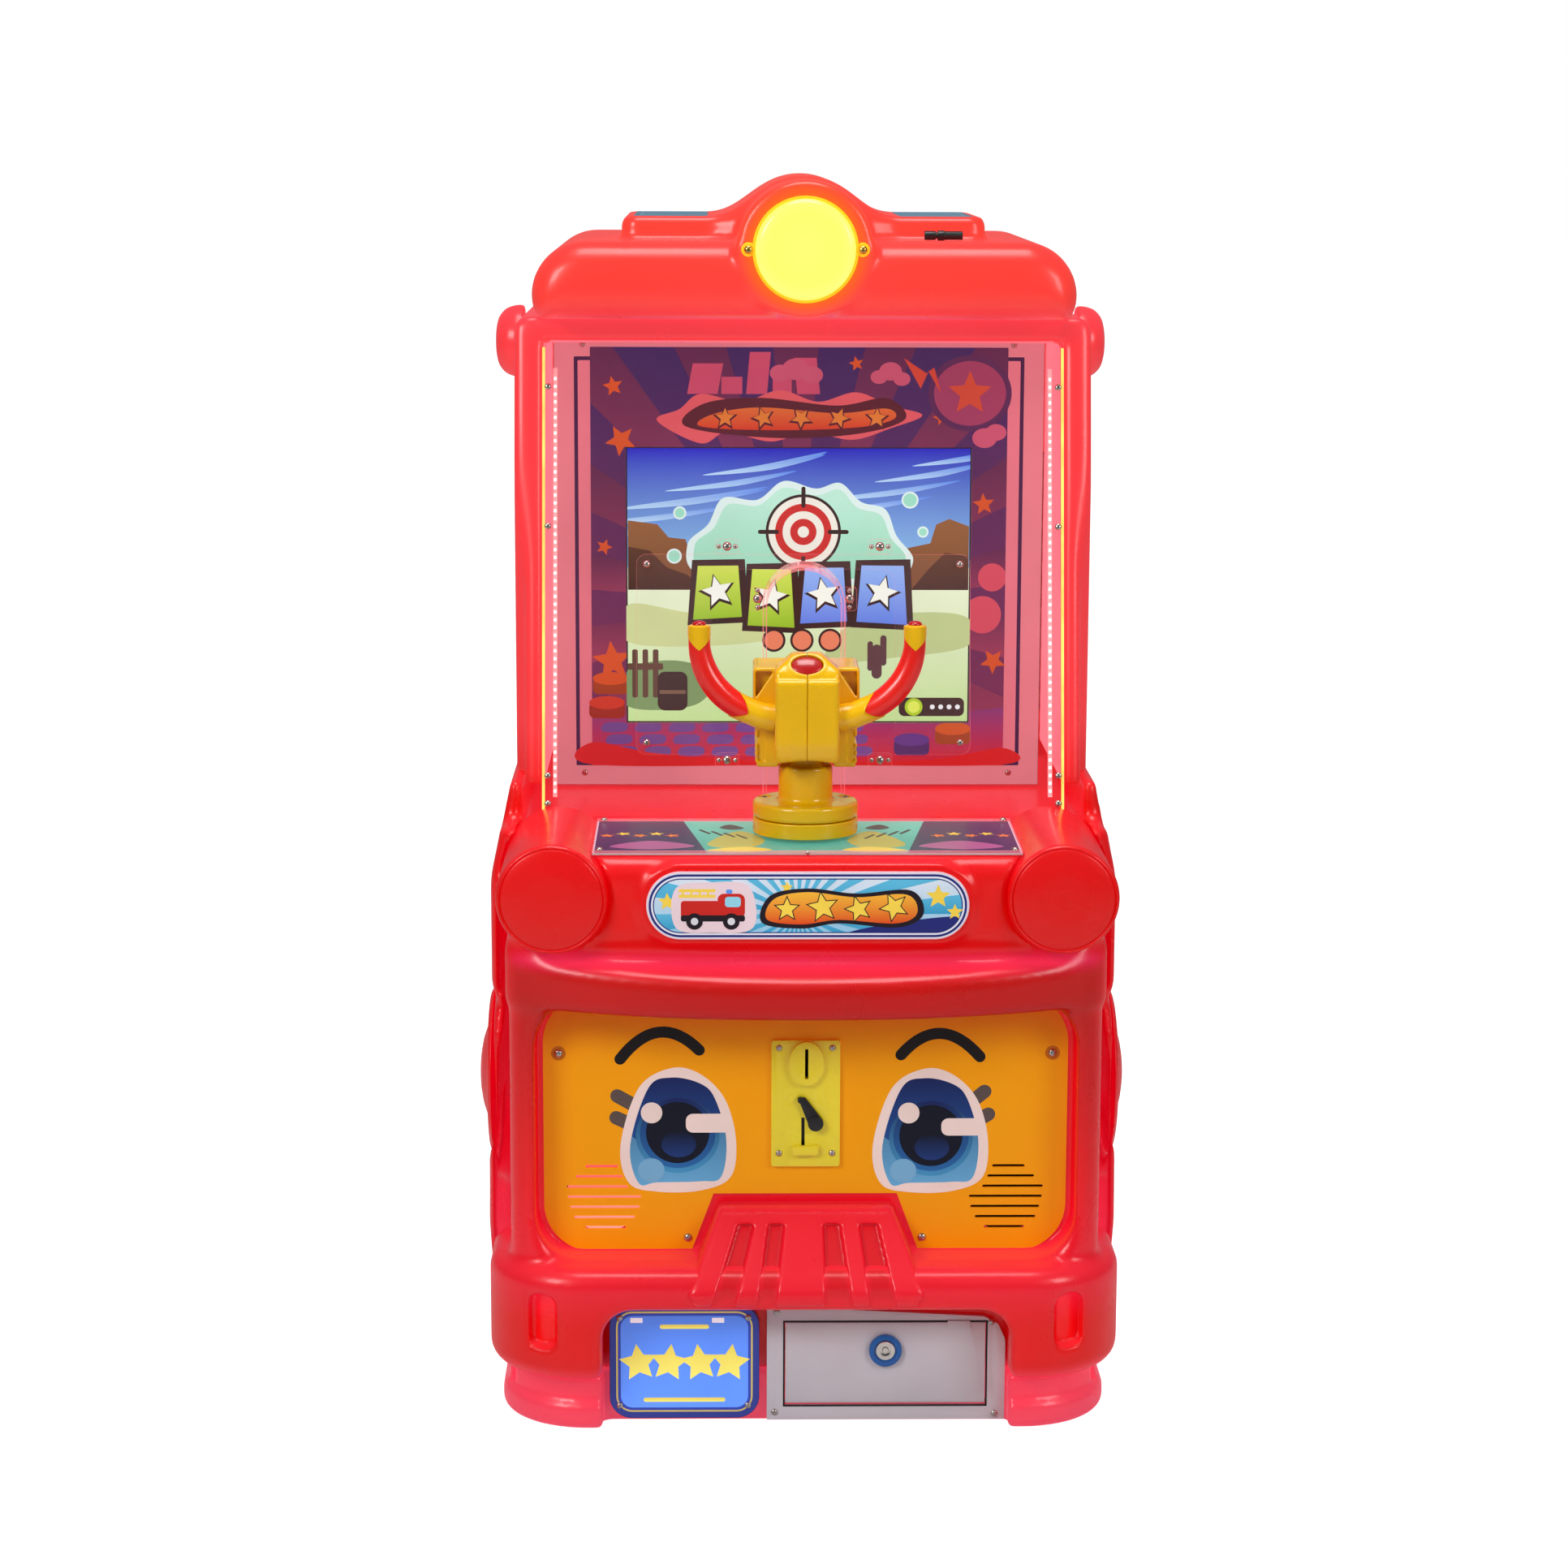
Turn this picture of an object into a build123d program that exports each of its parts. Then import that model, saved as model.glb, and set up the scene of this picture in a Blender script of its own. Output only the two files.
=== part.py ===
"""Children's light gun cabinet, shaped like a small fire engine.

Millimetres, +Z up, front towards -Y. The origin is on the floor, under the middle of the cabinet.
"""
import os
from math import atan2, cos, degrees, hypot, radians, sin

from build123d import *

# --- Whole cabinet
FRONT = -370.0
BACK = 370.0
WALL = 5.0
HEIGHT = 1213.0

# --- Lower mouldings
LOWER_HALF = 312.0
LOWER_REAR = 362.0
SPLIT_Y = -200.0
SKIRT_TOP = 58.0
SHOULDER_Z = 521.0
RIM_Z = 617.0
DECK_Z = 577.0
DECK_HALF = 206.0
DECK_FRONT = -323.0
DECK_BACK = -160.0
HEADER_Y = -341.0
FACE_Y = -285.0
RECESS_HALF = 262.0
RECESS_BOTTOM = 171.0
RECESS_TOP = 434.0
RECESS_CORNER = 50.0
BRIM_LOW = 419.0
BRIM_HIGH = 470.0
BUMPER_TOP = 168.0
BUMPER_HALF = 311.0
PLAN_CORNER = 95.0
HUB_Y = -120.0
HUB_Z = 312.0
HUB_R = 86.0
FOG_X = 255.0
SPEAKER_X = 197.0
SPEAKER_Z = 228.0
SPEAKER_R = 38.0

# --- Hood and roof
HOOD_HALF = 291.0
HOOD_BACK = 300.0
HOOD_TOP = 1073.0
SILL_Z = 560.0
ROOF_HALF = 272.0
ROOF_FRONT = -133.0
ROOF_TOP = 1150.0
SIGN_HALF = 182.0
SIGN_TOP = 1173.0
SIGN_FRONT = -60.0
SIGN_BACK = 150.0
LAMP_Z = 1143.0
ARCH_R = HEIGHT - LAMP_Z
LAMP_R = 50.0

# --- Leaning front window
WINDOW_Y = -150.0
WINDOW_Z = 582.0
WINDOW_RISE = 467.0
WINDOW_RUN = 90.0
WINDOW_HALF = 262.0
WINDOW_T = 4.0
WINDOW_LEAN = degrees(atan2(WINDOW_RUN, WINDOW_RISE))
WINDOW_LENGTH = hypot(WINDOW_RISE, WINDOW_RUN)

# --- Screen and its printed surround
ART_Y = 110.0
ART_HALF = 258.0
ART_LOW = 566.0
ART_HIGH = 1044.0
SCREEN_HALF = 183.0
SCREEN_LOW = 633.0
SCREEN_HIGH = 928.0

# --- Deck and gun
DRUM_X = 244.0
DRUM_Z = 538.0
DRUM_R = 53.5
DRUM_FRONT = -352.0
DRUM_BACK = -150.0
GUARD_HALF = 41.0
GUARD_SPRING = 793.0
GUARD_FRONT = -158.0
ART_T = 1.5
SHEET_T = 3.0
COVER_TOP = DECK_Z + ART_T + SHEET_T
GUN_Y = -225.0
RING_R = 51.5
RING_SEAM = 597.0
RING_TOP = 613.0
POST_R = 27.5
POST_TOP = 631.0
NECK_R = 19.0
TILT_Z = 690.0
SHAFT_R = 5.0
RUNNING = 0.05
HORN_Y = -266.0
HORN_ROOT = 50.0
HORN_X = 103.7
HORN_Z = 697.0
HORN_R = 11.0
HORN_BEND = 52.0
CAP_LOW = 768.0
CAP_TOP = 791.0
BUTTON_GAP = 0.3
COVER_HALF = 31.0
COVER_BACK = -250.0
COVER_FACE = -290.0
COVER_CREST = 764.0
DOME_FACE = -284.0
THUMB_Y = -275.0
THUMB_Z = 752.5
THUMB_LEAN = 41.0
SPINDLE_R = 10.0

# --- Face panel and coin mechanism
PANEL_HALF = 256.0
COIN_HALF = 33.5
COIN_LOW = 259.5
COIN_HIGH = 386.5
LEVER_X = -4.8
LEVER_Z = 327.0

# --- Grooved nose
NOSE_TOP = 231.0
NOSE_BEND = 150.0
NOSE_LOW = 136.0
NOSE_TOP_HALF = 89.0
NOSE_LOW_HALF = 119.0

# --- Bumper bay
BAY_LEFT = -198.0
BAY_RIGHT = 199.0
BAY_Y = -305.0
BAY_TOP = 128.0
DOOR_LEFT = -20.0
DOOR_RIGHT = 178.0
DOOR_LOW = 21.0
DOOR_HIGH = 106.5
DOOR_T = 2.0
DOOR_GAP = 0.8
FRAME_Y = -311.0
DOOR_HINGE_Y = -308.0
DOOR_HINGE_Z = 24.5
LOCK_X = 79.0
LOCK_Z = 78.0

# --- Rear door
REAR_DOOR_HALF = 190.0
REAR_DOOR_LOW = 130.0
REAR_DOOR_HIGH = 480.0
REAR_HINGE_X = -REAR_DOOR_HALF - 5.0
REAR_LOCK_X = 165.0
REAR_LOCK_Z = 305.0
INLET_X = 250.0
INLET_Z = 110.0
PIN_R = 1.5
SWITCH_Z = INLET_Z + 13.0
HINGE_PIN_R = 2.0
KNUCKLE_R = 3.5
KNUCKLE = 30.0
HINGE_Y = LOWER_REAR + KNUCKLE_R


ON_FOOT = (Align.CENTER, Align.CENTER, Align.MIN)


# --- Building blocks

def block(x0, x1, y0, y1, z0, z1):
    """Box between two corners."""
    return Pos((x0 + x1) / 2, (y0 + y1) / 2, (z0 + z1) / 2) * Box(x1 - x0, y1 - y0, z1 - z0)


def rod_x(radius, x0, x1, y, z):
    return Pos((x0 + x1) / 2, y, z) * Rot(Y=90) * Cylinder(radius, x1 - x0)


def rod_y(radius, x, y0, y1, z):
    return Pos(x, (y0 + y1) / 2, z) * Rot(X=90) * Cylinder(radius, y1 - y0)


def rod_z(radius, x, y, z0, z1):
    return Pos(x, y, (z0 + z1) / 2) * Cylinder(radius, z1 - z0)


def front_shape(sketch, y0, y1):
    """Sketch drawn as (x, z) and given a thickness from y0 back to y1."""
    return extrude(Plane.XZ.offset(-y1) * sketch, amount=y1 - y0, dir=(0, -1, 0))


def front_outline(points, y0, y1):
    return front_shape(make_face(Polyline(*points, close=True)), y0, y1)


def side_outline(points, x0, x1):
    """Outline drawn as (y, z) and given a width from x0 to x1."""
    face = Plane.YZ.offset(x0) * make_face(Polyline(*points, close=True))
    return extrude(face, amount=x1 - x0, dir=(1, 0, 0))


def front_plate(x0, x1, z0, z1, corner, y0, y1):
    """Upright plate with rounded corners."""
    outline = Pos((x0 + x1) / 2, (z0 + z1) / 2) * RectangleRounded(x1 - x0, z1 - z0, corner)
    return front_shape(outline, y0, y1)


def plan_block(half, y0, y1, corner, z0, z1):
    """Block whose two front corners are rounded in plan."""
    solid = block(-half, half, y0, y1, z0, z1)
    front_edges = solid.edges().filter_by(Axis.Z).group_by(Axis.Y)[0]
    return fillet(front_edges, corner)


def on_window(shape):
    """Carry a shape drawn on an upright sheet at y = 0, z = 0 onto the leaning window."""
    return Pos(0, WINDOW_Y, WINDOW_Z) * Rot(X=-WINDOW_LEAN) * shape


def mirrored(solid):
    return mirror(solid, about=Plane.YZ)


def window_y(z):
    """Front face of the window at height z."""
    return WINDOW_Y + (z - WINDOW_Z) * WINDOW_RUN / WINDOW_RISE


def screw(x, y, z, head=5.0, length=10.0):
    """Button-head screw driven towards +Y, its head's seat at y."""
    shank = rod_y(head * 0.45, x, y, y + length, z)
    cap = rod_y(head, x, y - head * 0.4, y, z)
    return shank + cap


# --- Lower body

def lower_rear_shell():
    outer = front_outline(
        [(-LOWER_HALF, SKIRT_TOP), (LOWER_HALF, SKIRT_TOP), (LOWER_HALF, SHOULDER_Z),
         (HOOD_HALF, RIM_Z), (-HOOD_HALF, RIM_Z), (-LOWER_HALF, SHOULDER_Z)],
        SPLIT_Y, LOWER_REAR)
    inner = LOWER_HALF - WALL
    room = block(-inner, inner, SPLIT_Y - 1, LOWER_REAR - WALL, SKIRT_TOP - 1, SILL_Z - WALL)
    room &= front_outline(
        [(-inner, SKIRT_TOP - 1), (inner, SKIRT_TOP - 1), (inner, SHOULDER_Z - 2),
         (HOOD_HALF, SILL_Z), (-HOOD_HALF, SILL_Z), (-inner, SHOULDER_Z - 2)],
        SPLIT_Y - 1, LOWER_REAR - WALL)
    display_floor = block(-HOOD_HALF + WALL, HOOD_HALF - WALL, WINDOW_Y + 5, HOOD_BACK - WALL,
                          SILL_Z, RIM_Z + 1)
    rear_step = block(-HOOD_HALF - 30, HOOD_HALF + 30, HOOD_BACK, LOWER_REAR + 1, SILL_Z + 20, RIM_Z + 1)
    gun_deck = block(-400, 400, SPLIT_Y - 1, WINDOW_Y + 5, DECK_Z, RIM_Z + 1)
    door_hole = block(-REAR_DOOR_HALF + 12, REAR_DOOR_HALF - 12, LOWER_REAR - 10, LOWER_REAR + 1,
                      REAR_DOOR_LOW + 12, REAR_DOOR_HIGH - 12)
    inlet_hole = block(INLET_X - 14, INLET_X + 14, LOWER_REAR - 10, LOWER_REAR + 1,
                       INLET_Z - 24, INLET_Z + 24)
    shell = outer - room - display_floor - rear_step - gun_deck - door_hole - inlet_hole
    for side in (-1, 1):
        shell -= rod_y(DRUM_R + 0.5, side * DRUM_X, SPLIT_Y - 1, DRUM_BACK + 1, DRUM_Z)
    return shell


def lower_front_shell():
    nose_profile = [(SPLIT_Y, SKIRT_TOP), (-338, SKIRT_TOP), (-356, 90), (-356, 140), (-346, BUMPER_TOP),
                    (-335, BUMPER_TOP + 2), (-335, BRIM_LOW), (FRONT, BRIM_LOW + 5), (FRONT, BRIM_LOW + 22),
                    (HEADER_Y - 5, BRIM_HIGH + 8), (HEADER_Y, 497), (HEADER_Y, DECK_Z - 8),
                    (HEADER_Y + 8, DECK_Z), (SPLIT_Y, DECK_Z)]
    shell = side_outline(nose_profile, -BUMPER_HALF, BUMPER_HALF)
    shell &= plan_block(BUMPER_HALF, FRONT, SPLIT_Y, PLAN_CORNER, 0, DECK_Z)
    recess = front_plate(-RECESS_HALF, RECESS_HALF, RECESS_BOTTOM, RECESS_TOP, RECESS_CORNER, FRONT, FACE_Y)
    bay = front_plate(BAY_LEFT, BAY_RIGHT, 0, BAY_TOP, 28, FRONT - 1, BAY_Y)
    rooms = [block(-300, 300, FACE_Y + WALL, SPLIT_Y + 1, SKIRT_TOP - 1, DECK_Z - WALL),
             block(-RECESS_HALF, RECESS_HALF, HEADER_Y + WALL, FACE_Y + 10, RECESS_TOP + WALL, DECK_Z - WALL)]
    for side in (-1, 1):
        rooms.append(block(side * FOG_X - 40, side * FOG_X + 40, HEADER_Y + 10, FACE_Y + 10,
                           70, RECESS_BOTTOM - 12))
    shell -= recess
    for room in rooms:
        shell -= room
    shell += grooved_nose()
    shell -= bay
    for side in (-1, 1):
        shell -= rod_y(DRUM_R + 0.5, side * DRUM_X, FRONT - 1, SPLIT_Y + 1, DRUM_Z)
        fog = front_plate(side * FOG_X - 14, side * FOG_X + 14, 92, 148, 8, FRONT, -346)
        shell -= fog
    shell -= coin_window(FACE_Y - 1, FACE_Y + 10)
    for side in (-1, 1):
        shell -= rod_y(SPEAKER_R, side * SPEAKER_X, FACE_Y - 1, FACE_Y + WALL + 1, SPEAKER_Z)
    shell -= door_hole(BAY_Y - 1, BAY_Y + 26)
    return shell - rod_z(14, 0, GUN_Y, DECK_Z - 20, DECK_Z + 1)


def door_hole(y0, y1):
    """Hole that the cash door closes, with a gap all round."""
    return block(DOOR_LEFT - DOOR_GAP, DOOR_RIGHT + DOOR_GAP, y0, y1,
                 DOOR_LOW - DOOR_GAP, DOOR_HIGH + DOOR_GAP)


def coin_window(y0, y1):
    """Hole behind the coin bezel."""
    return front_plate(-COIN_HALF + 3, COIN_HALF - 3, COIN_LOW + 3, COIN_HIGH - 3, 3, y0, y1)


def nose_outline(grow, y0, y1):
    """Front view of the grooved nose, grown sideways."""
    top = NOSE_TOP_HALF + grow
    low = NOSE_LOW_HALF + grow
    return front_outline([(-top, NOSE_TOP), (top, NOSE_TOP), (low, NOSE_BEND), (low, NOSE_LOW),
                          (-low, NOSE_LOW), (-low, NOSE_BEND)], y0, y1)


def grooved_nose():
    """Sloping grille under the coin mechanism, with four grooves."""
    slope = side_outline([(FACE_Y, NOSE_TOP), (-302, NOSE_TOP), (-346, NOSE_BEND), (-346, NOSE_LOW),
                          (FACE_Y, NOSE_LOW)], -NOSE_LOW_HALF, NOSE_LOW_HALF)
    slope &= nose_outline(0, FRONT, FACE_Y)
    for x_top, x_low, half in ((-59, -84, 9), (-29, -41, 9), (25.5, 32.5, 11), (61.5, 76, 11)):
        groove = front_outline(
            [(x_top - half, 209), (x_top + half, 209), (x_low + half, 151), (x_low - half, 151)], -360, -341)
        slope -= groove
    return slope


def base_skirt():
    skirt = plan_block(300, -332, LOWER_REAR - 10, 90, 3, SKIRT_TOP)
    skirt -= block(BAY_LEFT, BAY_RIGHT, FRONT, BAY_Y, 0, SKIRT_TOP + 1)
    skirt -= block(-290, 290, BAY_Y + 30, LOWER_REAR - 20, 12, SKIRT_TOP + 1)
    return skirt - door_hole(BAY_Y - 1, BAY_Y + 31)


def floor_pads():
    return Compound([rod_z(16, x, y, 0, 3) for x in (-235, 235) for y in (-275, 300)])


def wheel_hub(side):
    """Wheel-arch boss with a stepped rim and a domed cap."""
    fender = rod_x(HUB_R, LOWER_HALF, LOWER_HALF + 6, HUB_Y, HUB_Z)
    rim = rod_x(HUB_R - 16, LOWER_HALF + 6, LOWER_HALF + 10, HUB_Y, HUB_Z)
    dome = Pos(LOWER_HALF + 10, HUB_Y, HUB_Z) * Rot(Y=90) * Cone(58, 42, 6, align=ON_FOOT)
    hub = fender + rim + dome
    return hub if side > 0 else mirrored(hub)


def headlight(side):
    """Round drum with a closed, slightly proud front."""
    drum = rod_y(DRUM_R, DRUM_X, DRUM_FRONT, DRUM_BACK, DRUM_Z)
    drum -= rod_y(DRUM_R - WALL, DRUM_X, DRUM_FRONT + WALL, DRUM_BACK + 1, DRUM_Z)
    drum = fillet(drum.edges().group_by(Axis.Y)[0], 8)
    return drum if side > 0 else mirrored(drum)


# --- Front panels

def face_panel():
    panel = front_plate(-PANEL_HALF, PANEL_HALF, RECESS_BOTTOM + 1, RECESS_TOP - 1, RECESS_CORNER - 1,
                        FACE_Y - SHEET_T, FACE_Y)
    panel -= coin_window(FACE_Y - 10, FACE_Y + 1)
    panel -= nose_outline(1, -300, -280)
    slots = ((-199.5, 32), (-202, 46), (-204, 60), (-197, 72), (-196.5, 68), (-197, 60), (-196, 40))
    for side in (-1, 1):
        for row, (x, length) in enumerate(slots):
            z = 258.7 - 10.35 * row
            slot = Pos(side * -x, z) * SlotOverall(length, 3)
            panel -= front_shape(slot, FACE_Y - 10, FACE_Y + 1)
    return panel


def marquee_plate():
    return front_plate(-154, 154, 499, 565, 32.9, HEADER_Y - SHEET_T, HEADER_Y)


def number_plate():
    return front_plate(-192, -45, 10, 126, 22, -316, BAY_Y)


def coin_bezel():
    """Standard coin entry plate, 67 by 127, with its boss, slot and return mouth."""
    plate = front_plate(-COIN_HALF, COIN_HALF, COIN_LOW, COIN_HIGH, 3, -292, FACE_Y - SHEET_T)
    plate += front_shape(Pos(0.7, 364) * Ellipse(17, 22), -297, -292)
    plate -= front_shape(Pos(0.7, 364) * Rectangle(3.2, 30), -298, -280)
    plate -= front_shape(Pos(-2.5, 294.5) * Rectangle(3.2, 29), -298, -280)
    plate += front_outline([(-13, 281), (13, 281), (11, 272), (-11, 272)], -297, -292)
    return plate - rod_y(3 + RUNNING, LEVER_X, -293, -280, LEVER_Z)


def coin_mech_body():
    mech = block(-29, 29, FACE_Y, FACE_Y + 65, 264, 382)
    mech -= block(-2, 3.5, FACE_Y - 1, FACE_Y + 40, 349, 380)
    mech -= rod_y(4, LEVER_X, FACE_Y - 1, FACE_Y + 16, LEVER_Z)
    return mech


def coin_reject_lever():
    """Pivot pin with a short arm that widens to a round thumb pad."""
    end_x = 9.7
    end_z = 304.0
    pin = rod_y(3.0, LEVER_X, -296, FACE_Y + 14, LEVER_Z)
    arm = front_outline([(LEVER_X - 3, LEVER_Z + 3), (LEVER_X + 4, LEVER_Z + 3), (end_x + 7, end_z + 3),
                         (end_x - 7, end_z - 1)], -296, -293)
    pad = rod_y(7.5, end_x, -298, -293, end_z)
    return pin + arm + pad


def cash_door_frame():
    frame = front_outline([(-37.5, 6), (197, 6), (197, 88), (190, 104), (176, 112), (-37.5, 123.5)],
                          FRAME_Y, BAY_Y)
    frame -= door_hole(FRAME_Y - 1, BAY_Y + 1)
    return frame - rod_x(1.5 + RUNNING, DOOR_LEFT - 4, DOOR_RIGHT + 4, DOOR_HINGE_Y, DOOR_HINGE_Z)


def cash_door():
    """Steel door on a hinge rod along its lower edge, with a stop tab welded near its top corner."""
    door = block(DOOR_LEFT, DOOR_RIGHT, FRAME_Y, FRAME_Y + DOOR_T, DOOR_HINGE_Z, DOOR_HIGH)
    door += rod_x(2.8, DOOR_LEFT, DOOR_RIGHT, DOOR_HINGE_Y, DOOR_HINGE_Z)
    door += rod_x(1.5, DOOR_LEFT - 4, DOOR_RIGHT + 4, DOOR_HINGE_Y, DOOR_HINGE_Z)
    door += block(140, 162, FRAME_Y - 1.5, FRAME_Y, 100, DOOR_HIGH)
    door += block(140, 162, FRAME_Y - 1.5, FRAME_Y - BUTTON_GAP, DOOR_HIGH, DOOR_HIGH + 2)
    return door - rod_y(10 + RUNNING, LOCK_X, FRAME_Y - 1, FRAME_Y + 3, LOCK_Z)


def cash_lock():
    """Round cam lock with a short tongue behind the door."""
    lock = rod_y(16, LOCK_X, FRAME_Y - 5, FRAME_Y - BUTTON_GAP, LOCK_Z)
    lock += rod_y(10, LOCK_X, FRAME_Y - BUTTON_GAP, FRAME_Y + 12, LOCK_Z)
    lock -= rod_y(3.6, LOCK_X, FRAME_Y - 6, FRAME_Y - 1, LOCK_Z)
    return lock + block(LOCK_X - 8, LOCK_X + 8, FRAME_Y + 12, FRAME_Y + 15, LOCK_Z - 10, LOCK_Z + 22)


def cash_box():
    """Open-topped steel box that catches the coins behind the door."""
    box = block(-18, 176, -286, -226, 26, 66)
    return box - block(-16.5, 174.5, -284.5, -227.5, 27.5, 70)


# --- Hood, roof and lamp

def upper_shell():
    outer = side_outline([(WINDOW_Y + 6, RIM_Z), (HOOD_BACK, RIM_Z), (HOOD_BACK, HOOD_TOP),
                          (window_y(HOOD_TOP) - 30, HOOD_TOP), (window_y(HOOD_TOP) - 30, 1056),
                          (window_y(1052) + WINDOW_T + 1, 1052), (window_y(RIM_Z) + WINDOW_T + 0.3, RIM_Z)],
                         -HOOD_HALF, HOOD_HALF)
    inner = HOOD_HALF - WALL
    room = block(-inner, inner, -90, HOOD_BACK - WALL, RIM_Z - 1, 1052)
    front_mouth = block(-WINDOW_HALF + 8, WINDOW_HALF - 8, WINDOW_Y - 10, -60, RIM_Z - 1, 1040)
    return outer - room - front_mouth


def roof_cap():
    outline = Pos(0, (HOOD_TOP + ROOF_TOP) / 2) * RectangleRounded(2 * ROOF_HALF, ROOF_TOP - HOOD_TOP, 38)
    cap = front_shape(outline, ROOF_FRONT, HOOD_BACK)
    cap += block(-SIGN_HALF, SIGN_HALF, SIGN_FRONT, SIGN_BACK, ROOF_TOP - 10, SIGN_TOP)
    cap += rod_y(ARCH_R, 0, ROOF_FRONT - 2, SIGN_BACK, LAMP_Z)
    cap -= block(-ROOF_HALF + 30, ROOF_HALF - 30, ROOF_FRONT + WALL, HOOD_BACK - WALL, HOOD_TOP + WALL,
                 ROOF_TOP - WALL)
    cap -= rod_y(ARCH_R - 20, 0, ROOF_FRONT - 3, SIGN_BACK - WALL, LAMP_Z)
    return cap


def side_ear(side):
    ear = rod_x(30, HOOD_HALF, HOOD_HALF + 15, 60, 1042)
    ear = fillet(ear.edges().group_by(Axis.X)[-1], 10)
    return ear if side > 0 else mirrored(ear)


def lamp_base():
    ring = rod_y(52, 0, -141, -135.2, LAMP_Z) - rod_y(46, 0, -142, -135, LAMP_Z)
    for x in (-56, 56):
        ring += rod_y(7, x, -139, -135.2, LAMP_Z)
    return ring


def lamp_dome():
    lens = rod_y(LAMP_R, 0, -150, -141, LAMP_Z)
    lens = fillet(lens.edges().group_by(Axis.Y)[0], 8)
    return lens - rod_y(LAMP_R - 4, 0, -146, -140, LAMP_Z)


def lamp_board():
    return rod_y(45, 0, -138, -136, LAMP_Z)


def roof_antenna():
    """Short black coaxial plug lying on the roof's front ledge."""
    y = -70
    z = ROOF_TOP + 5
    barrel = rod_x(4.5, 120, 131, y, z) + rod_x(3.2, 131, 133, y, z)
    return barrel + rod_x(5, 133, 140, y, z) + rod_x(4.3, 140, 158, y, z)


def front_window():
    sheet = front_plate(-WINDOW_HALF, WINDOW_HALF, 0, WINDOW_LENGTH, 2, 0, WINDOW_T)
    sheet -= front_plate(-92, 92, 77, 247, 15, -1, WINDOW_T + 1)
    return on_window(sheet)


def window_cover_plate():
    return on_window(front_plate(-167.3, 167.3, 61, 262, 10, -SHEET_T, 0))


CLIP_PLACES = ((-76.5, 269.5, 0), (76.5, 269.5, 0), (-76.5, 55.5, 0), (76.5, 55.5, 0),
               (-46, 217, 90), (46, 217, 90))


def window_clips():
    """Clear tabs that hold the cover plate down."""
    clips = []
    for x, z, turn in CLIP_PLACES:
        tab = Pos(x, z) * Rot(0, 0, turn) * RectangleRounded(24, 15, 4)
        clips.append(on_window(front_shape(tab, -SHEET_T - 2.5, -SHEET_T)))
    return Compound(clips)


def window_screws():
    """Rosette screws in the clips, the plate's corner screws and the window's edge screws."""
    screws = []
    for x, z, turn in CLIP_PLACES:
        screws.append(on_window(screw(x, -SHEET_T - 2.5, z, 4.5, 2.4)))
        for step in (-8.3, 8.3):
            dx = step * cos(radians(turn))
            dz = step * sin(radians(turn))
            screws.append(on_window(screw(x + dx, -SHEET_T - 2.5, z + dz, 2.4, 2.4)))
    for x in (-157, 157):
        for z in (73, 252):
            screws.append(on_window(screw(x, -SHEET_T, z, 3.5, 2.8)))
    for x in (-WINDOW_HALF + 6, WINDOW_HALF - 6):
        for z in (12, 40, 290, 430):
            screws.append(on_window(screw(x, 0, z, 3.5, 3.5)))
    return Compound(screws)


def archway(half, y0, y1, z0):
    """Upright slab with a round top."""
    return rod_y(half, 0, y0, y1, GUARD_SPRING) + block(-half, half, y0, y1, z0, GUARD_SPRING)


def gun_guard():
    """Clear arched tunnel on the window behind the gun."""
    outer = archway(GUARD_HALF, GUARD_FRONT, -100, COVER_TOP)
    inner = archway(GUARD_HALF - 4, GUARD_FRONT - 1, -99, COVER_TOP - 1)
    clear = 9
    behind = side_outline([(window_y(0) - clear, 0), (0, 0), (0, 900), (window_y(900) - clear, 900)], -60, 60)
    return outer - inner - behind


def art_backdrop():
    board = block(-ART_HALF, ART_HALF, ART_Y, ART_Y + 3, ART_LOW, ART_HIGH)
    return board - block(-SCREEN_HALF, SCREEN_HALF, ART_Y - 1, ART_Y + 4, SCREEN_LOW, SCREEN_HIGH)


def lcd_panel():
    return block(-198, 198, ART_Y + 3, ART_Y + 18, SCREEN_LOW - 12, SCREEN_HIGH + 12)


def lcd_bracket():
    """Folded steel tray that carries the screen, with a foot at each side."""
    tray = block(-206, 206, ART_Y + 18, ART_Y + 48, SCREEN_LOW - 20, SCREEN_HIGH + 20)
    tray -= block(-204, 204, ART_Y + 17, ART_Y + 46, SCREEN_LOW - 18, SCREEN_HIGH + 18)
    foot = block(206, 286, ART_Y + 44, ART_Y + 46, 640, 920)
    return tray + foot + mirrored(foot)


def led_strips():
    strips = []
    for x in (-247, 247):
        strips.append(on_window(block(x - 5, x + 5, 24, 26.5, 20, WINDOW_LENGTH - 24)))
    return Compound(strips)


# --- Deck and gun

def deck_art_panel():
    panel = block(-DECK_HALF, DECK_HALF, DECK_FRONT, DECK_BACK, DECK_Z, DECK_Z + ART_T)
    return panel - rod_z(14, 0, GUN_Y, DECK_Z - 1, COVER_TOP)


def deck_cover():
    cover = block(-DECK_HALF, DECK_HALF, DECK_FRONT, DECK_BACK, DECK_Z + ART_T, COVER_TOP)
    return cover - rod_z(14, 0, GUN_Y, DECK_Z, COVER_TOP + 1)


def gun_base_ring():
    ring = rod_z(RING_R, 0, GUN_Y, COVER_TOP, RING_SEAM - 0.4)
    ring = fillet(ring.edges().group_by(Axis.Z)[-1], 1)
    return ring - rod_z(SPINDLE_R + RUNNING, 0, GUN_Y, COVER_TOP - 1, RING_SEAM)


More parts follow.
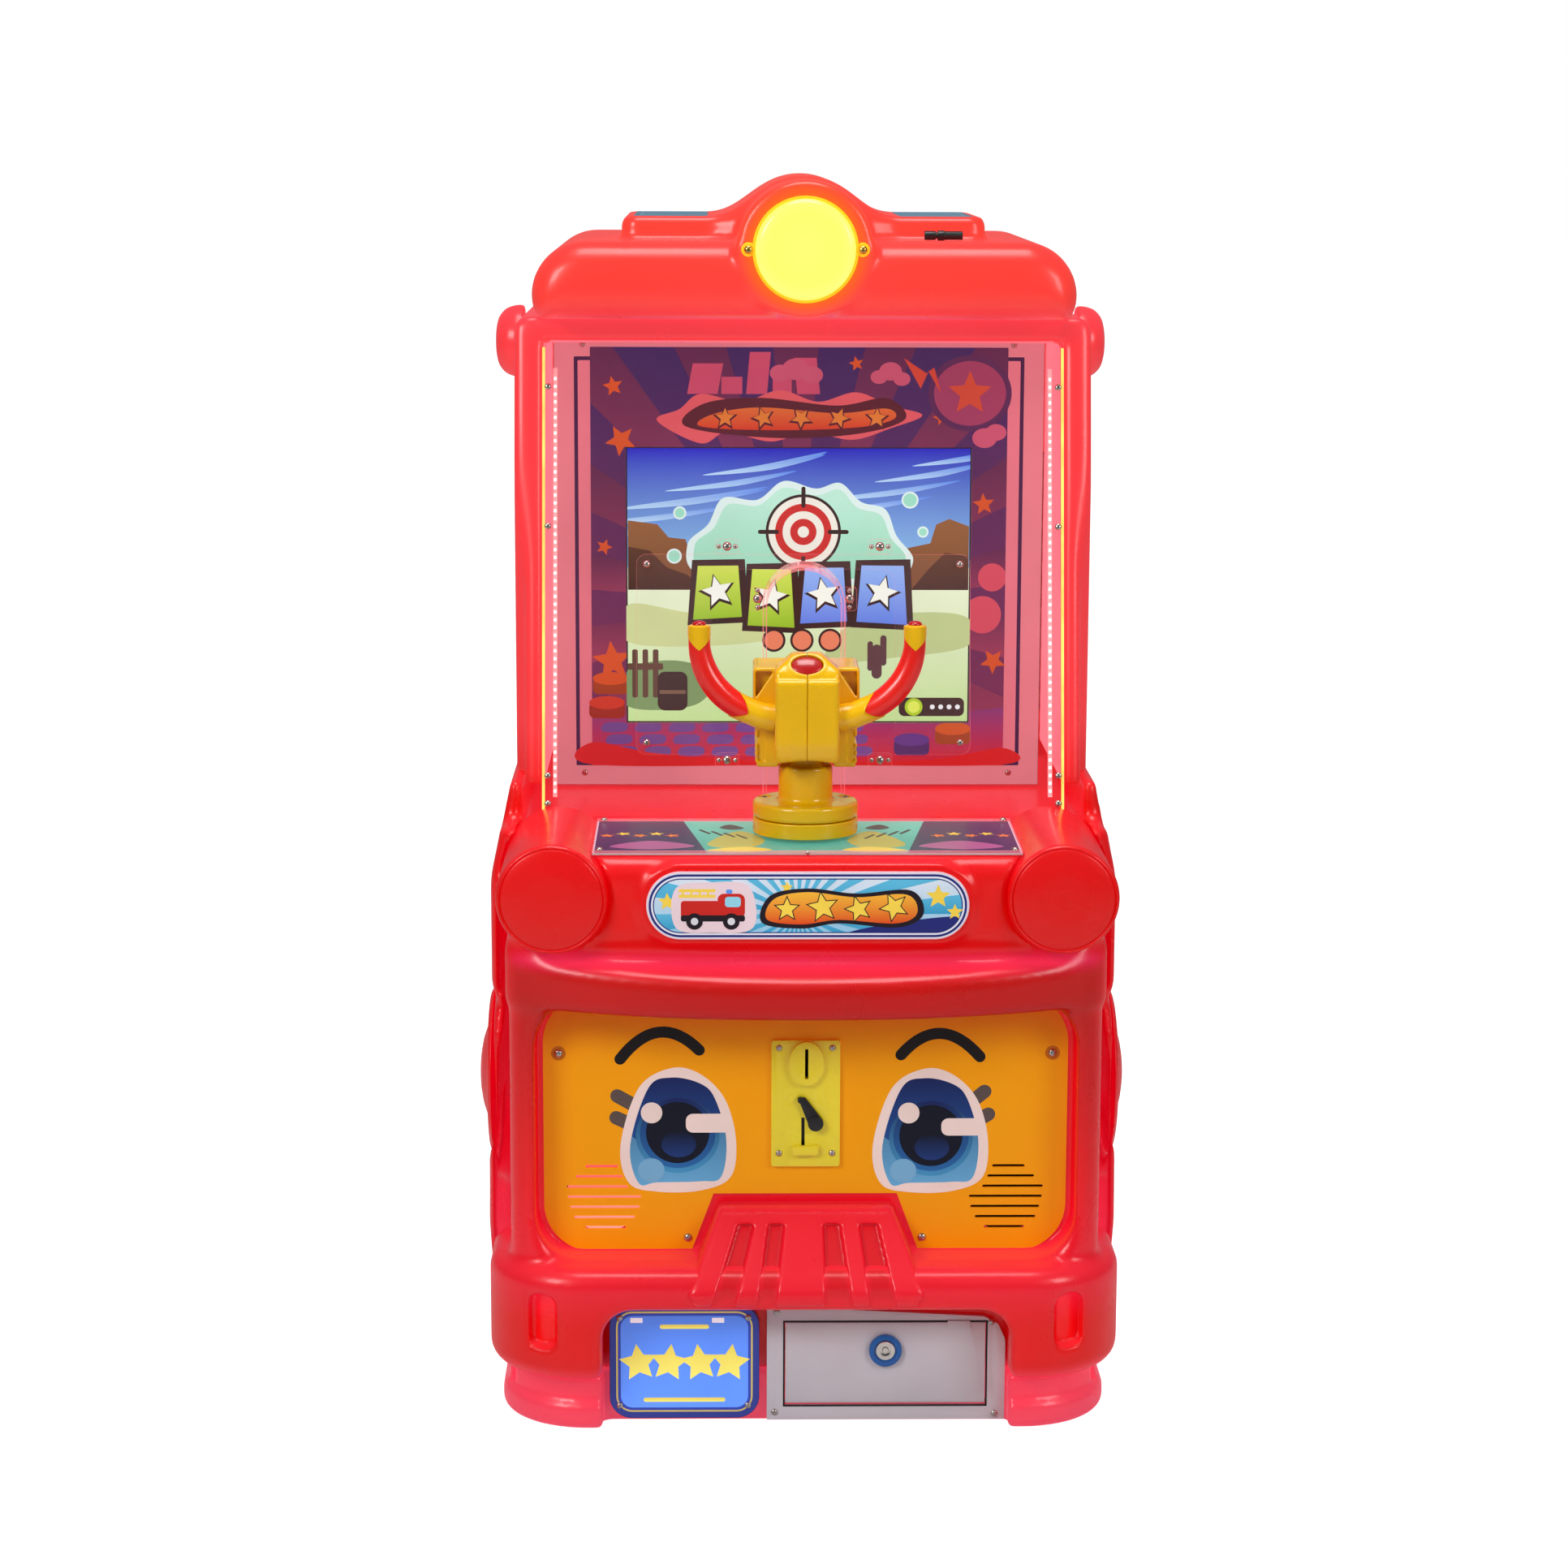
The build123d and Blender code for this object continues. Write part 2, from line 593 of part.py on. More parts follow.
def gun_turntable():
    """Turning ring, post and the head that the tilt shaft runs through."""
    ring = rod_z(RING_R, 0, GUN_Y, RING_SEAM, RING_TOP)
    ring = fillet(ring.edges().group_by(Axis.Z)[-1], 4)
    for x in (-30, 30):
        ring -= rod_z(4.5, x, GUN_Y + 26, RING_TOP - 2, RING_TOP + 1)
    post = rod_z(POST_R, 0, GUN_Y, RING_TOP, POST_TOP)
    neck = rod_z(NECK_R, 0, GUN_Y, POST_TOP, TILT_Z - 14)
    head = block(-17, 17, GUN_Y - 14, GUN_Y + 14, TILT_Z - 14, TILT_Z + 14)
    spindle = rod_z(SPINDLE_R, 0, GUN_Y, DECK_Z - 12, RING_SEAM)
    yoke = ring + post + neck + head + spindle
    return yoke - rod_x(SHAFT_R + RUNNING, -20, 20, GUN_Y, TILT_Z)


def gun_tilt_shaft():
    return rod_x(SHAFT_R, -47.5, 47.5, GUN_Y, TILT_Z)


def gun_housing():
    """Open-bottomed box round the head, with a pocket each side of the rear cover."""
    body = front_plate(-51.5, 51.5, 643, 747, 6, COVER_BACK, -182)
    body -= block(-44, 44, COVER_BACK + 4, -186, 640, 741)
    body -= block(-COVER_HALF + 4, COVER_HALF - 4, COVER_BACK - 1, COVER_BACK + 5, 640, 734)
    for side in (-1, 1):
        body -= block(side * 41.5 - 8, side * 41.5 + 8, COVER_BACK - 1, COVER_BACK + 2.5, 719, 743)
    return body - rod_x(SHAFT_R, -47.5, 47.5, GUN_Y, TILT_Z)


def thumb_button_plane():
    """Plane of the sloping seat behind the cover's domed top, its normal pointing back and up."""
    lean = radians(THUMB_LEAN)
    return Plane((-0.5, THUMB_Y, THUMB_Z), x_dir=(1, 0, 0), z_dir=(0, -cos(lean), sin(lean)))


def thumb_ellipse(gap, low, high):
    """Oval column that stands on the sloping seat."""
    return extrude(thumb_button_plane().offset(low) * Ellipse(15.6 + gap, 10.5 + gap), amount=high - low)


def gun_rear_cover():
    """Cover with a domed top that slopes away, hollow behind its rear wall."""
    dome = front_outline(
        [(-COVER_HALF, 735), (COVER_HALF, 735), (COVER_HALF, 742), (18, 759), (9, COVER_CREST),
         (-9, COVER_CREST), (-18, 759), (-COVER_HALF, 742)], DOME_FACE, COVER_BACK)
    dome &= side_outline(
        [(COVER_BACK, 730), (DOME_FACE, 730), (DOME_FACE, 741.5), (-265, COVER_CREST),
         (COVER_BACK, COVER_CREST)], -40, 40)
    trunk = block(-COVER_HALF, COVER_HALF, COVER_FACE, COVER_BACK, 657, 740)
    cover = trunk + dome
    cover -= block(-COVER_HALF + 4, COVER_HALF - 4, COVER_FACE + 4, COVER_BACK + 1, 656, 732)
    return cover - thumb_ellipse(BUTTON_GAP, -6, 5)


def gun_button():
    return thumb_ellipse(0, -2.5, 3.5)


def gun_barrel():
    muzzle = rod_y(22, 0, -182, -168, 702)
    return muzzle - rod_y(17, 0, -172, -167, 702)


def horn_path():
    return FilletPolyline((HORN_ROOT, HORN_Z), (HORN_X, HORN_Z), (HORN_X, CAP_LOW), radius=HORN_BEND)


def gun_handle(side):
    """Curved horn that grows out of its socket and ends under its cap."""
    path = Plane.XZ.offset(-HORN_Y) * horn_path()
    section = Plane(path @ 0, z_dir=path % 0) * Circle(HORN_R)
    horn = sweep(section, path=path)
    return horn if side > 0 else mirrored(horn)


def handle_sockets():
    """Flared sockets that hold the horns' roots, one each side of the rear cover."""
    flare = Pos(COVER_HALF, HORN_Y, HORN_Z) * Rot(Y=90) * Cone(15.5, 13, 20.5, align=ON_FOOT)
    socket = flare - rod_x(HORN_R, HORN_ROOT, 80, HORN_Y, HORN_Z)
    return Compound([socket, mirrored(socket)])


def handle_caps():
    caps = []
    for side in (-1, 1):
        cap = rod_z(HORN_R, side * HORN_X, HORN_Y, CAP_LOW, CAP_TOP)
        caps.append(cap - rod_z(7 + BUTTON_GAP, side * HORN_X, HORN_Y, CAP_TOP - 8, CAP_TOP + 1))
    return Compound(caps)


def grip_button(side):
    return rod_z(7, side * HORN_X, HORN_Y, CAP_TOP - 4, CAP_TOP + 4)


# --- Inside and rear

def speakers():
    units = []
    for side in (-1, 1):
        x = side * SPEAKER_X
        rim = rod_y(SPEAKER_R, x, FACE_Y + WALL, FACE_Y + 9, SPEAKER_Z)
        cone = Pos(x, FACE_Y + 9, SPEAKER_Z) * Rot(X=-90) * Cone(34, 18, 22, align=ON_FOOT)
        magnet = rod_y(22, x, FACE_Y + 31, FACE_Y + 43, SPEAKER_Z)
        units.append(rim + cone + magnet)
    return Compound(units)


def io_board():
    board = block(-120, 20, LOWER_REAR - 60, LOWER_REAR - 58, 170, 330)
    for x, z in ((-100, 190), (-60, 240), (-20, 290)):
        board += block(x - 12, x + 12, LOWER_REAR - 72, LOWER_REAR - 60, z - 10, z + 10)
    for x in (-112, 12):
        for z in (178, 322):
            board += rod_y(3, x, LOWER_REAR - 58, LOWER_REAR - 50, z)
    return board


def board_tray():
    """Steel plate across the back of the lower body that the boards are fixed to."""
    return block(-307, 307, LOWER_REAR - 50, LOWER_REAR - 48, 165, 335)


def power_supply():
    return block(60, 170, LOWER_REAR - 98, LOWER_REAR - 50, 180, 300)


def power_inlet():
    """Mains inlet with its flange outside the rear wall."""
    floor = LOWER_REAR - 14
    mouth = LOWER_REAR + 4
    inlet = inlet_block(19, LOWER_REAR, LOWER_REAR + 3, -30, 30)
    inlet += inlet_block(13.5, LOWER_REAR - 24, LOWER_REAR, -23.5, 23.5)
    inlet -= inlet_block(10, floor, mouth, -19, 1)
    inlet -= inlet_block(8, floor, mouth, 5, 21)
    inlet -= rod_x(PIN_R + RUNNING, INLET_X - 9.5, INLET_X + 9.5, LOWER_REAR - 2, SWITCH_Z)
    for x in (-6, 0, 6):
        inlet += Pos(X=x) * inlet_block(1, floor, LOWER_REAR - 2, -11, -7)
    return inlet


def inlet_block(half, y0, y1, low, high):
    """Box centred on the inlet, its heights taken from the inlet's middle."""
    return block(INLET_X - half, INLET_X + half, y0, y1, INLET_Z + low, INLET_Z + high)


def power_switch():
    """Rocker on a cross pin, tipped to its on side, in the upper window of the inlet."""
    rocker = Pos(INLET_X, LOWER_REAR - 1, SWITCH_Z) * Rot(X=-8) * Box(13, 8, 10)
    return rocker + rod_x(PIN_R, INLET_X - 9.2, INLET_X + 9.2, LOWER_REAR - 2, SWITCH_Z)


def rear_hinge():
    """Piano hinge: pin with its fixed leaf."""
    leaf_face = LOWER_REAR + 1.2
    hinge = rod_z(HINGE_PIN_R, REAR_HINGE_X, HINGE_Y, REAR_DOOR_LOW, REAR_DOOR_HIGH)
    hinge += block(REAR_HINGE_X - 22, REAR_HINGE_X - 4.5, LOWER_REAR, leaf_face,
                   REAR_DOOR_LOW, REAR_DOOR_HIGH)
    for z in (REAR_DOOR_LOW + 1, REAR_DOOR_HIGH - KNUCKLE - 1):
        hinge += rod_z(KNUCKLE_R, REAR_HINGE_X, HINGE_Y, z, z + KNUCKLE)
        hinge += block(REAR_HINGE_X - 6, REAR_HINGE_X, LOWER_REAR, leaf_face, z, z + KNUCKLE)
    return hinge


def rear_door():
    inner = LOWER_REAR + 1.5
    low = REAR_DOOR_LOW + KNUCKLE + 5
    high = REAR_DOOR_HIGH - KNUCKLE - 5
    door = block(REAR_HINGE_X + 6, REAR_DOOR_HALF, inner, inner + DOOR_T, REAR_DOOR_LOW, REAR_DOOR_HIGH)
    door += rod_z(KNUCKLE_R, REAR_HINGE_X, HINGE_Y, low, high)
    door += block(REAR_HINGE_X, REAR_HINGE_X + 7, inner, inner + DOOR_T, low, high)
    door -= rod_z(HINGE_PIN_R + RUNNING, REAR_HINGE_X, HINGE_Y, REAR_DOOR_LOW, REAR_DOOR_HIGH)
    door -= rod_y(9 + RUNNING, REAR_LOCK_X, LOWER_REAR, LOWER_REAR + 5, REAR_LOCK_Z)
    for row in range(6):
        louvre = Pos(0, 390 + 11 * row) * SlotOverall(150, 4)
        door -= front_shape(louvre, LOWER_REAR, LOWER_REAR + 5)
    return door


def rear_lock():
    lock = rod_y(13, REAR_LOCK_X, LOWER_REAR + 3.8, BACK, REAR_LOCK_Z)
    lock += rod_y(9, REAR_LOCK_X, LOWER_REAR - 8, LOWER_REAR + 3.8, REAR_LOCK_Z)
    lock -= rod_y(3.6, REAR_LOCK_X, BACK - 3, BACK + 1, REAR_LOCK_Z)
    return lock + block(REAR_LOCK_X - 24, REAR_LOCK_X + 6, LOWER_REAR - 10, LOWER_REAR - 8, REAR_LOCK_Z - 6,
                        REAR_LOCK_Z + 6)


def body_screws():
    """Screws of the face panel, header, plate, coin bezel, door frame, art board and deck."""
    screws = [screw(x, FACE_Y - SHEET_T, z, 4.2, 2.8) for x, z in
              ((-241, 373), (241, 373), (-115, 186), (115, 186))]
    screws += [screw(x, -292, z, 3.2, 3.8) for x in (-26, 26) for z in (273, 379)]
    screws += [screw(x, -316, z, 3.4, 3.0) for x in (-182, -56) for z in (23, 113)]
    screws += [screw(x, FRAME_Y, z, 3.4, 4.0) for x, z in ((-28, 117), (183, 106), (-30, 14), (187, 12))]
    screws += [screw(x, ART_Y, z, 3.4, 2.8) for x in (-228, 226) for z in (579, 1036)]
    for x in (-199, 199):
        for y in (DECK_FRONT + 7, DECK_BACK - 7):
            screws.append(rod_z(3.4, x, y, COVER_TOP, COVER_TOP + 1.5))
    return Compound(screws)


def drilled(shape, screws):
    """Shape with a hole wherever one of the screws stands in it."""
    return shape.cut(*screws.solids())


def build_parts():
    parts = {maker.__name__: maker() for maker in (
        lower_rear_shell, lower_front_shell, base_skirt, floor_pads, upper_shell, roof_cap,
        face_panel, marquee_plate, number_plate, coin_bezel, coin_mech_body, coin_reject_lever,
        cash_door_frame, cash_door, cash_lock, cash_box, lamp_base, lamp_dome, lamp_board, roof_antenna,
        front_window, window_cover_plate, window_clips, window_screws, gun_guard,
        art_backdrop, lcd_panel, lcd_bracket, led_strips, deck_art_panel, deck_cover,
        gun_base_ring, gun_turntable, gun_tilt_shaft, gun_housing, gun_rear_cover, gun_button,
        gun_barrel, handle_sockets, handle_caps, speakers, io_board, board_tray, power_supply,
        power_inlet, power_switch, rear_hinge, rear_door, rear_lock, body_screws)}
    for side, word in ((-1, "left"), (1, "right")):
        for maker in (side_ear, wheel_hub, headlight, gun_handle, grip_button):
            parts[f"{maker.__name__}_{word}"] = maker(side)
    for name in ("art_backdrop", "cash_door_frame", "coin_bezel", "face_panel", "number_plate"):
        parts[name] = drilled(parts[name], parts["body_screws"])
    for name in ("front_window", "window_cover_plate", "window_clips"):
        parts[name] = drilled(parts[name], parts["window_screws"])
    return parts


os.makedirs("parts", exist_ok=True)
for name, shape in build_parts().items():
    export_step(shape, f"parts/{name}.step")
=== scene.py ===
"""Looks of the children's light gun cabinet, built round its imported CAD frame.

Fields, outlines and sizes are in millimetres, and meshes are in metres. +Z is up, and the front faces -Y.
"""
from math import atan2, cos, hypot, pi, radians, sin

import bmesh
import bpy
import numpy as np
import openvdb
from mathutils import Matrix, Vector


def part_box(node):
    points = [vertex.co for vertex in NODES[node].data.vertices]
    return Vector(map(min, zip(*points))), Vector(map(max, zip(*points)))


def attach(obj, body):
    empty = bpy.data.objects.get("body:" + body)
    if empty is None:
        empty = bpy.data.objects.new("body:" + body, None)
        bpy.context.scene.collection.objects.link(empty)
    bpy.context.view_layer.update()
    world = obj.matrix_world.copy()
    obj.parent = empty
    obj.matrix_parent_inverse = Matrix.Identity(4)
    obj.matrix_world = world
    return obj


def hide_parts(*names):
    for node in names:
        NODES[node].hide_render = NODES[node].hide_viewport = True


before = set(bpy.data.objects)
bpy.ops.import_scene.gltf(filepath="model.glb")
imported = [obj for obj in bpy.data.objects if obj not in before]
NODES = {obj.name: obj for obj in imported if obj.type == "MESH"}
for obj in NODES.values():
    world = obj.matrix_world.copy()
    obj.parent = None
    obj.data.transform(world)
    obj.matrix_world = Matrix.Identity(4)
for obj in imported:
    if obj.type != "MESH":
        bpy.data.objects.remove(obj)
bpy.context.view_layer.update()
MM = 0.001


# --- Sizes read from the frame

def corners(node):
    """Lowest and highest corner of a CAD node, in millimetres."""
    low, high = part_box(node)
    return low / MM, high / MM


FRONT_LOW, FRONT_HIGH = corners("lower_front_shell")
REAR_HIGH = corners("lower_rear_shell")[1]
SKIRT_LOW, SKIRT_HIGH = corners("base_skirt")
HOOD_HIGH = corners("upper_shell")[1]
ROOF_LOW, ROOF_HIGH = corners("roof_cap")
DRUM_LOW, DRUM_HIGH = corners("headlight_right")
PANEL_LOW, PANEL_HIGH = corners("face_panel")
HEADER_LOW, HEADER_HIGH = corners("marquee_plate")
PLATE_LOW, PLATE_HIGH = corners("number_plate")
WINDOW_LOW, WINDOW_HIGH = corners("front_window")
ART_LOW, ART_HIGH = corners("art_backdrop")
DECK_LOW, DECK_HIGH = corners("deck_art_panel")
RING_LOW, RING_HIGH = corners("gun_base_ring")
YOKE_HIGH = corners("gun_turntable")[1]
HOUSING_LOW, HOUSING_HIGH = corners("gun_housing")
COVER_LOW, COVER_HIGH = corners("gun_rear_cover")
LAMP_LOW, LAMP_HIGH = corners("lamp_dome")
HORN_LOW, HORN_HIGH = corners("gun_handle_right")
HUB_LOW, HUB_HIGH = corners("wheel_hub_right")
EAR_LOW, EAR_HIGH = corners("side_ear_right")

# Planes, centres and radii of the main pieces
SPLIT_Y = FRONT_HIGH.y
DECK_Z = FRONT_HIGH.z
BUMPER_HALF = FRONT_HIGH.x
BRIM_Y = FRONT_LOW.y
SKIRT_TOP = FRONT_LOW.z
FACE_Y = PANEL_HIGH.y
HEADER_Y = HEADER_HIGH.y
DRUM_X = (DRUM_LOW.x + DRUM_HIGH.x) / 2
DRUM_Z = (DRUM_LOW.z + DRUM_HIGH.z) / 2
DRUM_R = (DRUM_HIGH.x - DRUM_LOW.x) / 2
SIDE_HALF = REAR_HIGH.x
SHELL_BACK = REAR_HIGH.y
RIM_Z = REAR_HIGH.z
HOOD_HALF = HOOD_HIGH.x
HOOD_BACK = HOOD_HIGH.y
HOOD_TOP = HOOD_HIGH.z
GUN_Y = (RING_LOW.y + RING_HIGH.y) / 2
LAMP_Z = (LAMP_LOW.z + LAMP_HIGH.z) / 2
LAMP_R = LAMP_HIGH.x
ARCH_R = ROOF_HIGH.z - LAMP_Z
ART_Y = ART_LOW.y
HUB_Y = (HUB_LOW.y + HUB_HIGH.y) / 2
HUB_Z = (HUB_LOW.z + HUB_HIGH.z) / 2
HUB_R = (HUB_HIGH.z - HUB_LOW.z) / 2
HORN_R = (HORN_HIGH.y - HORN_LOW.y) / 2
HORN_Y = (HORN_LOW.y + HORN_HIGH.y) / 2

# Face frame and the recess that its panel sits in
FRAME_HALF = 291.0
FRAME_Y = -336.0
RECESS_HALF = 263.0
RECESS_LOW = 171.0
RECESS_HIGH = 434.0
RECESS_R = 50.0
BRIM_LOW = 424.0
BRIM_HIGH = 473.0
SPEAKER_X = 197.0
SPEAKER_Z = 228.0
SPEAKER_R = 38.0

# Bumper, its bay and the cash door in the bay
BUMPER_Y = -356.0
BUMPER_TOP = 172.0
BUMPER_R = 95.0
BAY_TOP = 131.0
BAY_LEFT = -198.0
BAY_RIGHT = 199.0
BAY_Y = -305.0
FOG_INNER = 242.0
FOG_OUTER = 269.0
FOG_LOW = 92.0
FOG_HIGH = 146.0
FOG_R = 11.0
DOOR_LEFT = -20.0
DOOR_RIGHT = 178.0
DOOR_LOW = 21.0
DOOR_HIGH = 106.5
DOOR_GAP = 0.8

# Display hood, its leaning window, and the roof
SHELL_T = 8.0
FLOOR_Z = 563.0
WINDOW_Y = -150.0
WINDOW_Z = 582.0
WINDOW_SLOPE = 90.0 / 467.0
WINDOW_HALF = WINDOW_HIGH.x
WINDOW_LEAN = atan2(WINDOW_SLOPE, 1)
PILLAR_HALF = 279.0
HOOD_WALL = 7.0
ROOF_HALF = 270.0
ROOF_ROUND = 54.0
ROOF_TOP = 1150.0
SIGN_HALF = 182.0
SIGN_TOP = 1173.0
SIGN_FRONT = -60.0
SIGN_BACK = 150.0
LAMP_EAR_X = 56.0
LAMP_FACE_Y = -135.0

# Beyond every surface, for cutters that are open on one side
FAR = 500.0


def window_y(z):
    """Front face of the leaning window at height z."""
    return WINDOW_Y + (z - WINDOW_Z) * WINDOW_SLOPE


# --- Distance fields, sampled on a grid and skinned with quads

class Grid:
    """Sampling points between two corners, held as three open axes."""

    def __init__(self, low, high, step):
        self.low = np.array(low, float)
        self.step = step
        counts = np.ceil((np.array(high, float) - self.low) / step).astype(int) + 1
        axes = [(self.low[i] + step * np.arange(counts[i])).astype(np.float32) for i in range(3)]
        self.x = axes[0][:, None, None]
        self.y = axes[1][None, :, None]
        self.z = axes[2][None, None, :]
        self.shape = tuple(counts)


def rect(u, v, u0, u1, v0, v1, r):
    """Distance from a flat rectangle with rounded corners."""
    across = np.abs(u - (u0 + u1) / 2) - (u1 - u0) / 2 + r
    along = np.abs(v - (v0 + v1) / 2) - (v1 - v0) / 2 + r
    outside = np.hypot(np.maximum(across, 0), np.maximum(along, 0))
    return outside + np.minimum(np.maximum(across, along), 0) - r


def disc(u, v, cu, cv, r):
    """Distance from a flat disc."""
    return np.hypot(u - cu, v - cv) - r


def oval(u, v, cu, cv, ru, rv):
    """Nearly the distance from a flat ellipse."""
    du, dv = u - cu, v - cv
    near = np.hypot(du / ru, dv / rv)
    return near * (near - 1) / np.maximum(np.hypot(du / ru ** 2, dv / rv ** 2), 1e-6)


def prism(flat, w, w0, w1, r=0.0):
    """Flat shape given a thickness from w0 to w1, with its rims rounded."""
    a = flat + r
    b = np.abs(w - (w0 + w1) / 2) - (w1 - w0) / 2 + r
    return np.hypot(np.maximum(a, 0), np.maximum(b, 0)) + np.minimum(np.maximum(a, b), 0) - r


def polygon(u, v, points):
    """Distance from a flat polygon."""
    near = None
    inside = False
    for (au, av), (bu, bv) in zip(points, points[1:] + points[:1]):
        eu, ev = bu - au, bv - av
        t = np.clip(((u - au) * eu + (v - av) * ev) / (eu * eu + ev * ev), 0, 1)
        edge = np.hypot(u - au - t * eu, v - av - t * ev)
        near = edge if near is None else np.minimum(near, edge)
        if ev != 0:
            crosses = ((av > v) != (bv > v)) & (u < eu * (v - av) / ev + au)
            inside = inside ^ crosses
    return np.where(inside, -near, near)


def join(a, b, k=0.01):
    """Union with a fillet of about k."""
    h = np.maximum(k - np.abs(a - b), 0) / k
    return np.minimum(a, b) - h * h * k / 4


def both(a, b, k=0.01):
    """Intersection, rounded by about k."""
    return -join(-a, -b, k)


def cut(a, b, k=0.01):
    """First shape without the second, with the edge rounded by about k."""
    return both(a, -b, k)


def curve(t, stops, blur):
    """Line through the stops, with its corners rounded over the blur length."""
    places, values = zip(*stops)
    shifts = np.linspace(-blur, blur, 7)
    return sum(np.interp(t + shift, places, values) for shift in shifts) / len(shifts)


def added(name, mesh):
    """New object in the scene."""
    item = bpy.data.objects.new(name, mesh)
    bpy.context.scene.collection.objects.link(item)
    return item


def mesh_object(name, points, faces, smooth=True):
    """Object from points in metres and their faces."""
    mesh = bpy.data.meshes.new(name)
    mesh.from_pydata(points, [], faces)
    mesh.update()
    if smooth:
        mesh.shade_smooth()
    return added(name, mesh)


def from_bmesh(name, shape):
    """Object from a bmesh, which is freed."""
    mesh = bpy.data.meshes.new(name)
    shape.to_mesh(mesh)
    shape.free()
    return added(name, mesh)


def place(item, body, node=None, finish=None):
    """Ride on a body, stand for a CAD node, and take a material."""
    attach(item, body)
    if node:
        for each in node.split():
            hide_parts(each)
    if finish:
        item.data.materials.append(finish)
    return item


def apply_modifiers(item):
    """Replace the mesh by what its modifiers make of it."""
    depsgraph = bpy.context.evaluated_depsgraph_get()
    mesh = bpy.data.meshes.new_from_object(item.evaluated_get(depsgraph))
    item.modifiers.clear()
    item.data = mesh


def relaxed(points, quads, rounds):
    """Points moved towards their neighbours' mean, and part of the way back, to calm the grid's steps."""
    ends = np.concatenate([quads[:, [i, (i + 1) % 4]] for i in range(4)])
    count = np.maximum(np.bincount(ends[:, 0], minlength=len(points)), 1)[:, None]
    for pull in (0.6, -0.5) * rounds:
        sums = [np.bincount(ends[:, 0], points[ends[:, 1], i], len(points)) for i in range(3)]
        points = points + pull * (np.stack(sums, 1) / count - points)
    return points


def skinned(name, grid, field, rounds=3):
    """Closed mesh on the zero level of a field."""
    limit = 3 * grid.step
    values = np.clip(np.broadcast_to(field, grid.shape), -limit, limit).astype(np.float32)
    for axis in range(3):
        for end in (0, -1):
            border = [slice(None)] * 3
            border[axis] = end
            values[tuple(border)] = limit
    volume = openvdb.FloatGrid(limit)
    volume.copyFromArray(np.ascontiguousarray(values))
    points, quads = volume.convertToQuads(0.0)
    points = (grid.low + relaxed(points, quads, rounds) * grid.step) * MM
    return mesh_object(name, points.tolist(), quads.tolist())


# --- Other mesh makers

def lathe(name, profile, centre, axis="Z", segments=96):
    """Turned shape from (radius, height) pairs along an axis through the centre."""
    points, faces = [], []
    rings = []
    for radius, height in profile:
        if radius < 1e-6:
            rings.append([len(points)])
            points.append((0, 0, height))
            continue
        start = len(points)
        rings.append(list(range(start, start + segments)))
        for i in range(segments):
            turn = 2 * pi * i / segments
            points.append((radius * cos(turn), radius * sin(turn), height))
    for low, high in zip(rings, rings[1:]):
        for i in range(segments):
            j = (i + 1) % segments
            loop = [low[i % len(low)], low[j % len(low)], high[j % len(high)], high[i % len(high)]]
            faces.append(list(dict.fromkeys(loop)))
    turn_to = {"Z": Matrix(), "Y": Matrix.Rotation(radians(90), 4, "X"),
               "X": Matrix.Rotation(radians(90), 4, "Y")}
    move = Matrix.Translation(Vector(centre)) @ turn_to[axis]
    item = mesh_object(name, [tuple((move @ Vector(p)) * MM) for p in points], faces)
    mend_normals(item)
    return item


def mend_normals(item, sharp=40):
    """Outward faces, with edges steeper than the sharp angle left crisp."""
    shape = bmesh.new()
    shape.from_mesh(item.data)
    bmesh.ops.remove_doubles(shape, verts=shape.verts, dist=1e-6)
    bmesh.ops.recalc_face_normals(shape, faces=shape.faces)
    for edge in shape.edges:
        edge.smooth = len(edge.link_faces) != 2 or edge.calc_face_angle(0) < radians(sharp)
    for face in shape.faces:
        face.smooth = True
    shape.to_mesh(item.data)
    shape.free()


def rounded_profile(pairs, radius, steps=5):
    """Lathe profile with its inner corners rounded."""
    result = [pairs[0]]
    for before, corner, after in zip(pairs, pairs[1:], pairs[2:]):
        a, b, c = Vector(before), Vector(corner), Vector(after)
        back, on = (a - b), (c - b)
        reach = min(radius, back.length * 0.45, on.length * 0.45)
        start, end = b + back.normalized() * reach, b + on.normalized() * reach
        for i in range(steps + 1):
            t = i / steps
            result.append(tuple(start * (1 - t) ** 2 + b * 2 * t * (1 - t) + end * t * t))
    return result + [pairs[-1]]


def softened(name, node, width, body="cabinet", finish=None, angle=30, segments=3):
    """Copy of a CAD piece with its edges rounded."""
    mesh = NODES[node].data.copy()
    mesh.materials.clear()
    item = added(name, mesh)
    shape = bmesh.new()
    shape.from_mesh(mesh)
    bmesh.ops.remove_doubles(shape, verts=shape.verts, dist=2e-6)
    bmesh.ops.dissolve_limit(shape, angle_limit=radians(1), verts=shape.verts, edges=shape.edges)
    shape.to_mesh(mesh)
    shape.free()
    bevel = item.modifiers.new("edges", "BEVEL")
    bevel.width = width * MM
    bevel.segments = segments
    bevel.limit_method = "ANGLE"
    bevel.angle_limit = radians(angle)
    bevel.use_clamp_overlap = True
    apply_modifiers(item)
    mend_normals(item, 35)
    return place(item, body, node, finish)


def mirrored_mesh(mesh):
    """Copy on the other side of the cabinet's middle plane."""
    twin = mesh.copy()
    twin.transform(Matrix.Scale(-1, 4, (1, 0, 0)))
    twin.flip_normals()
    return twin


def mirrored_copy(item, name):
    """New object from the mirrored mesh."""
    return added(name, mirrored_mesh(item.data))


# --- Materials

def linear(red, green, blue):
    """Scene colour of an 8-bit screen colour."""
    steps = [v / 255 for v in (red, green, blue)]
    return tuple(v / 12.92 if v <= 0.04045 else ((v + 0.055) / 1.055) ** 2.4 for v in steps) + (1.0,)


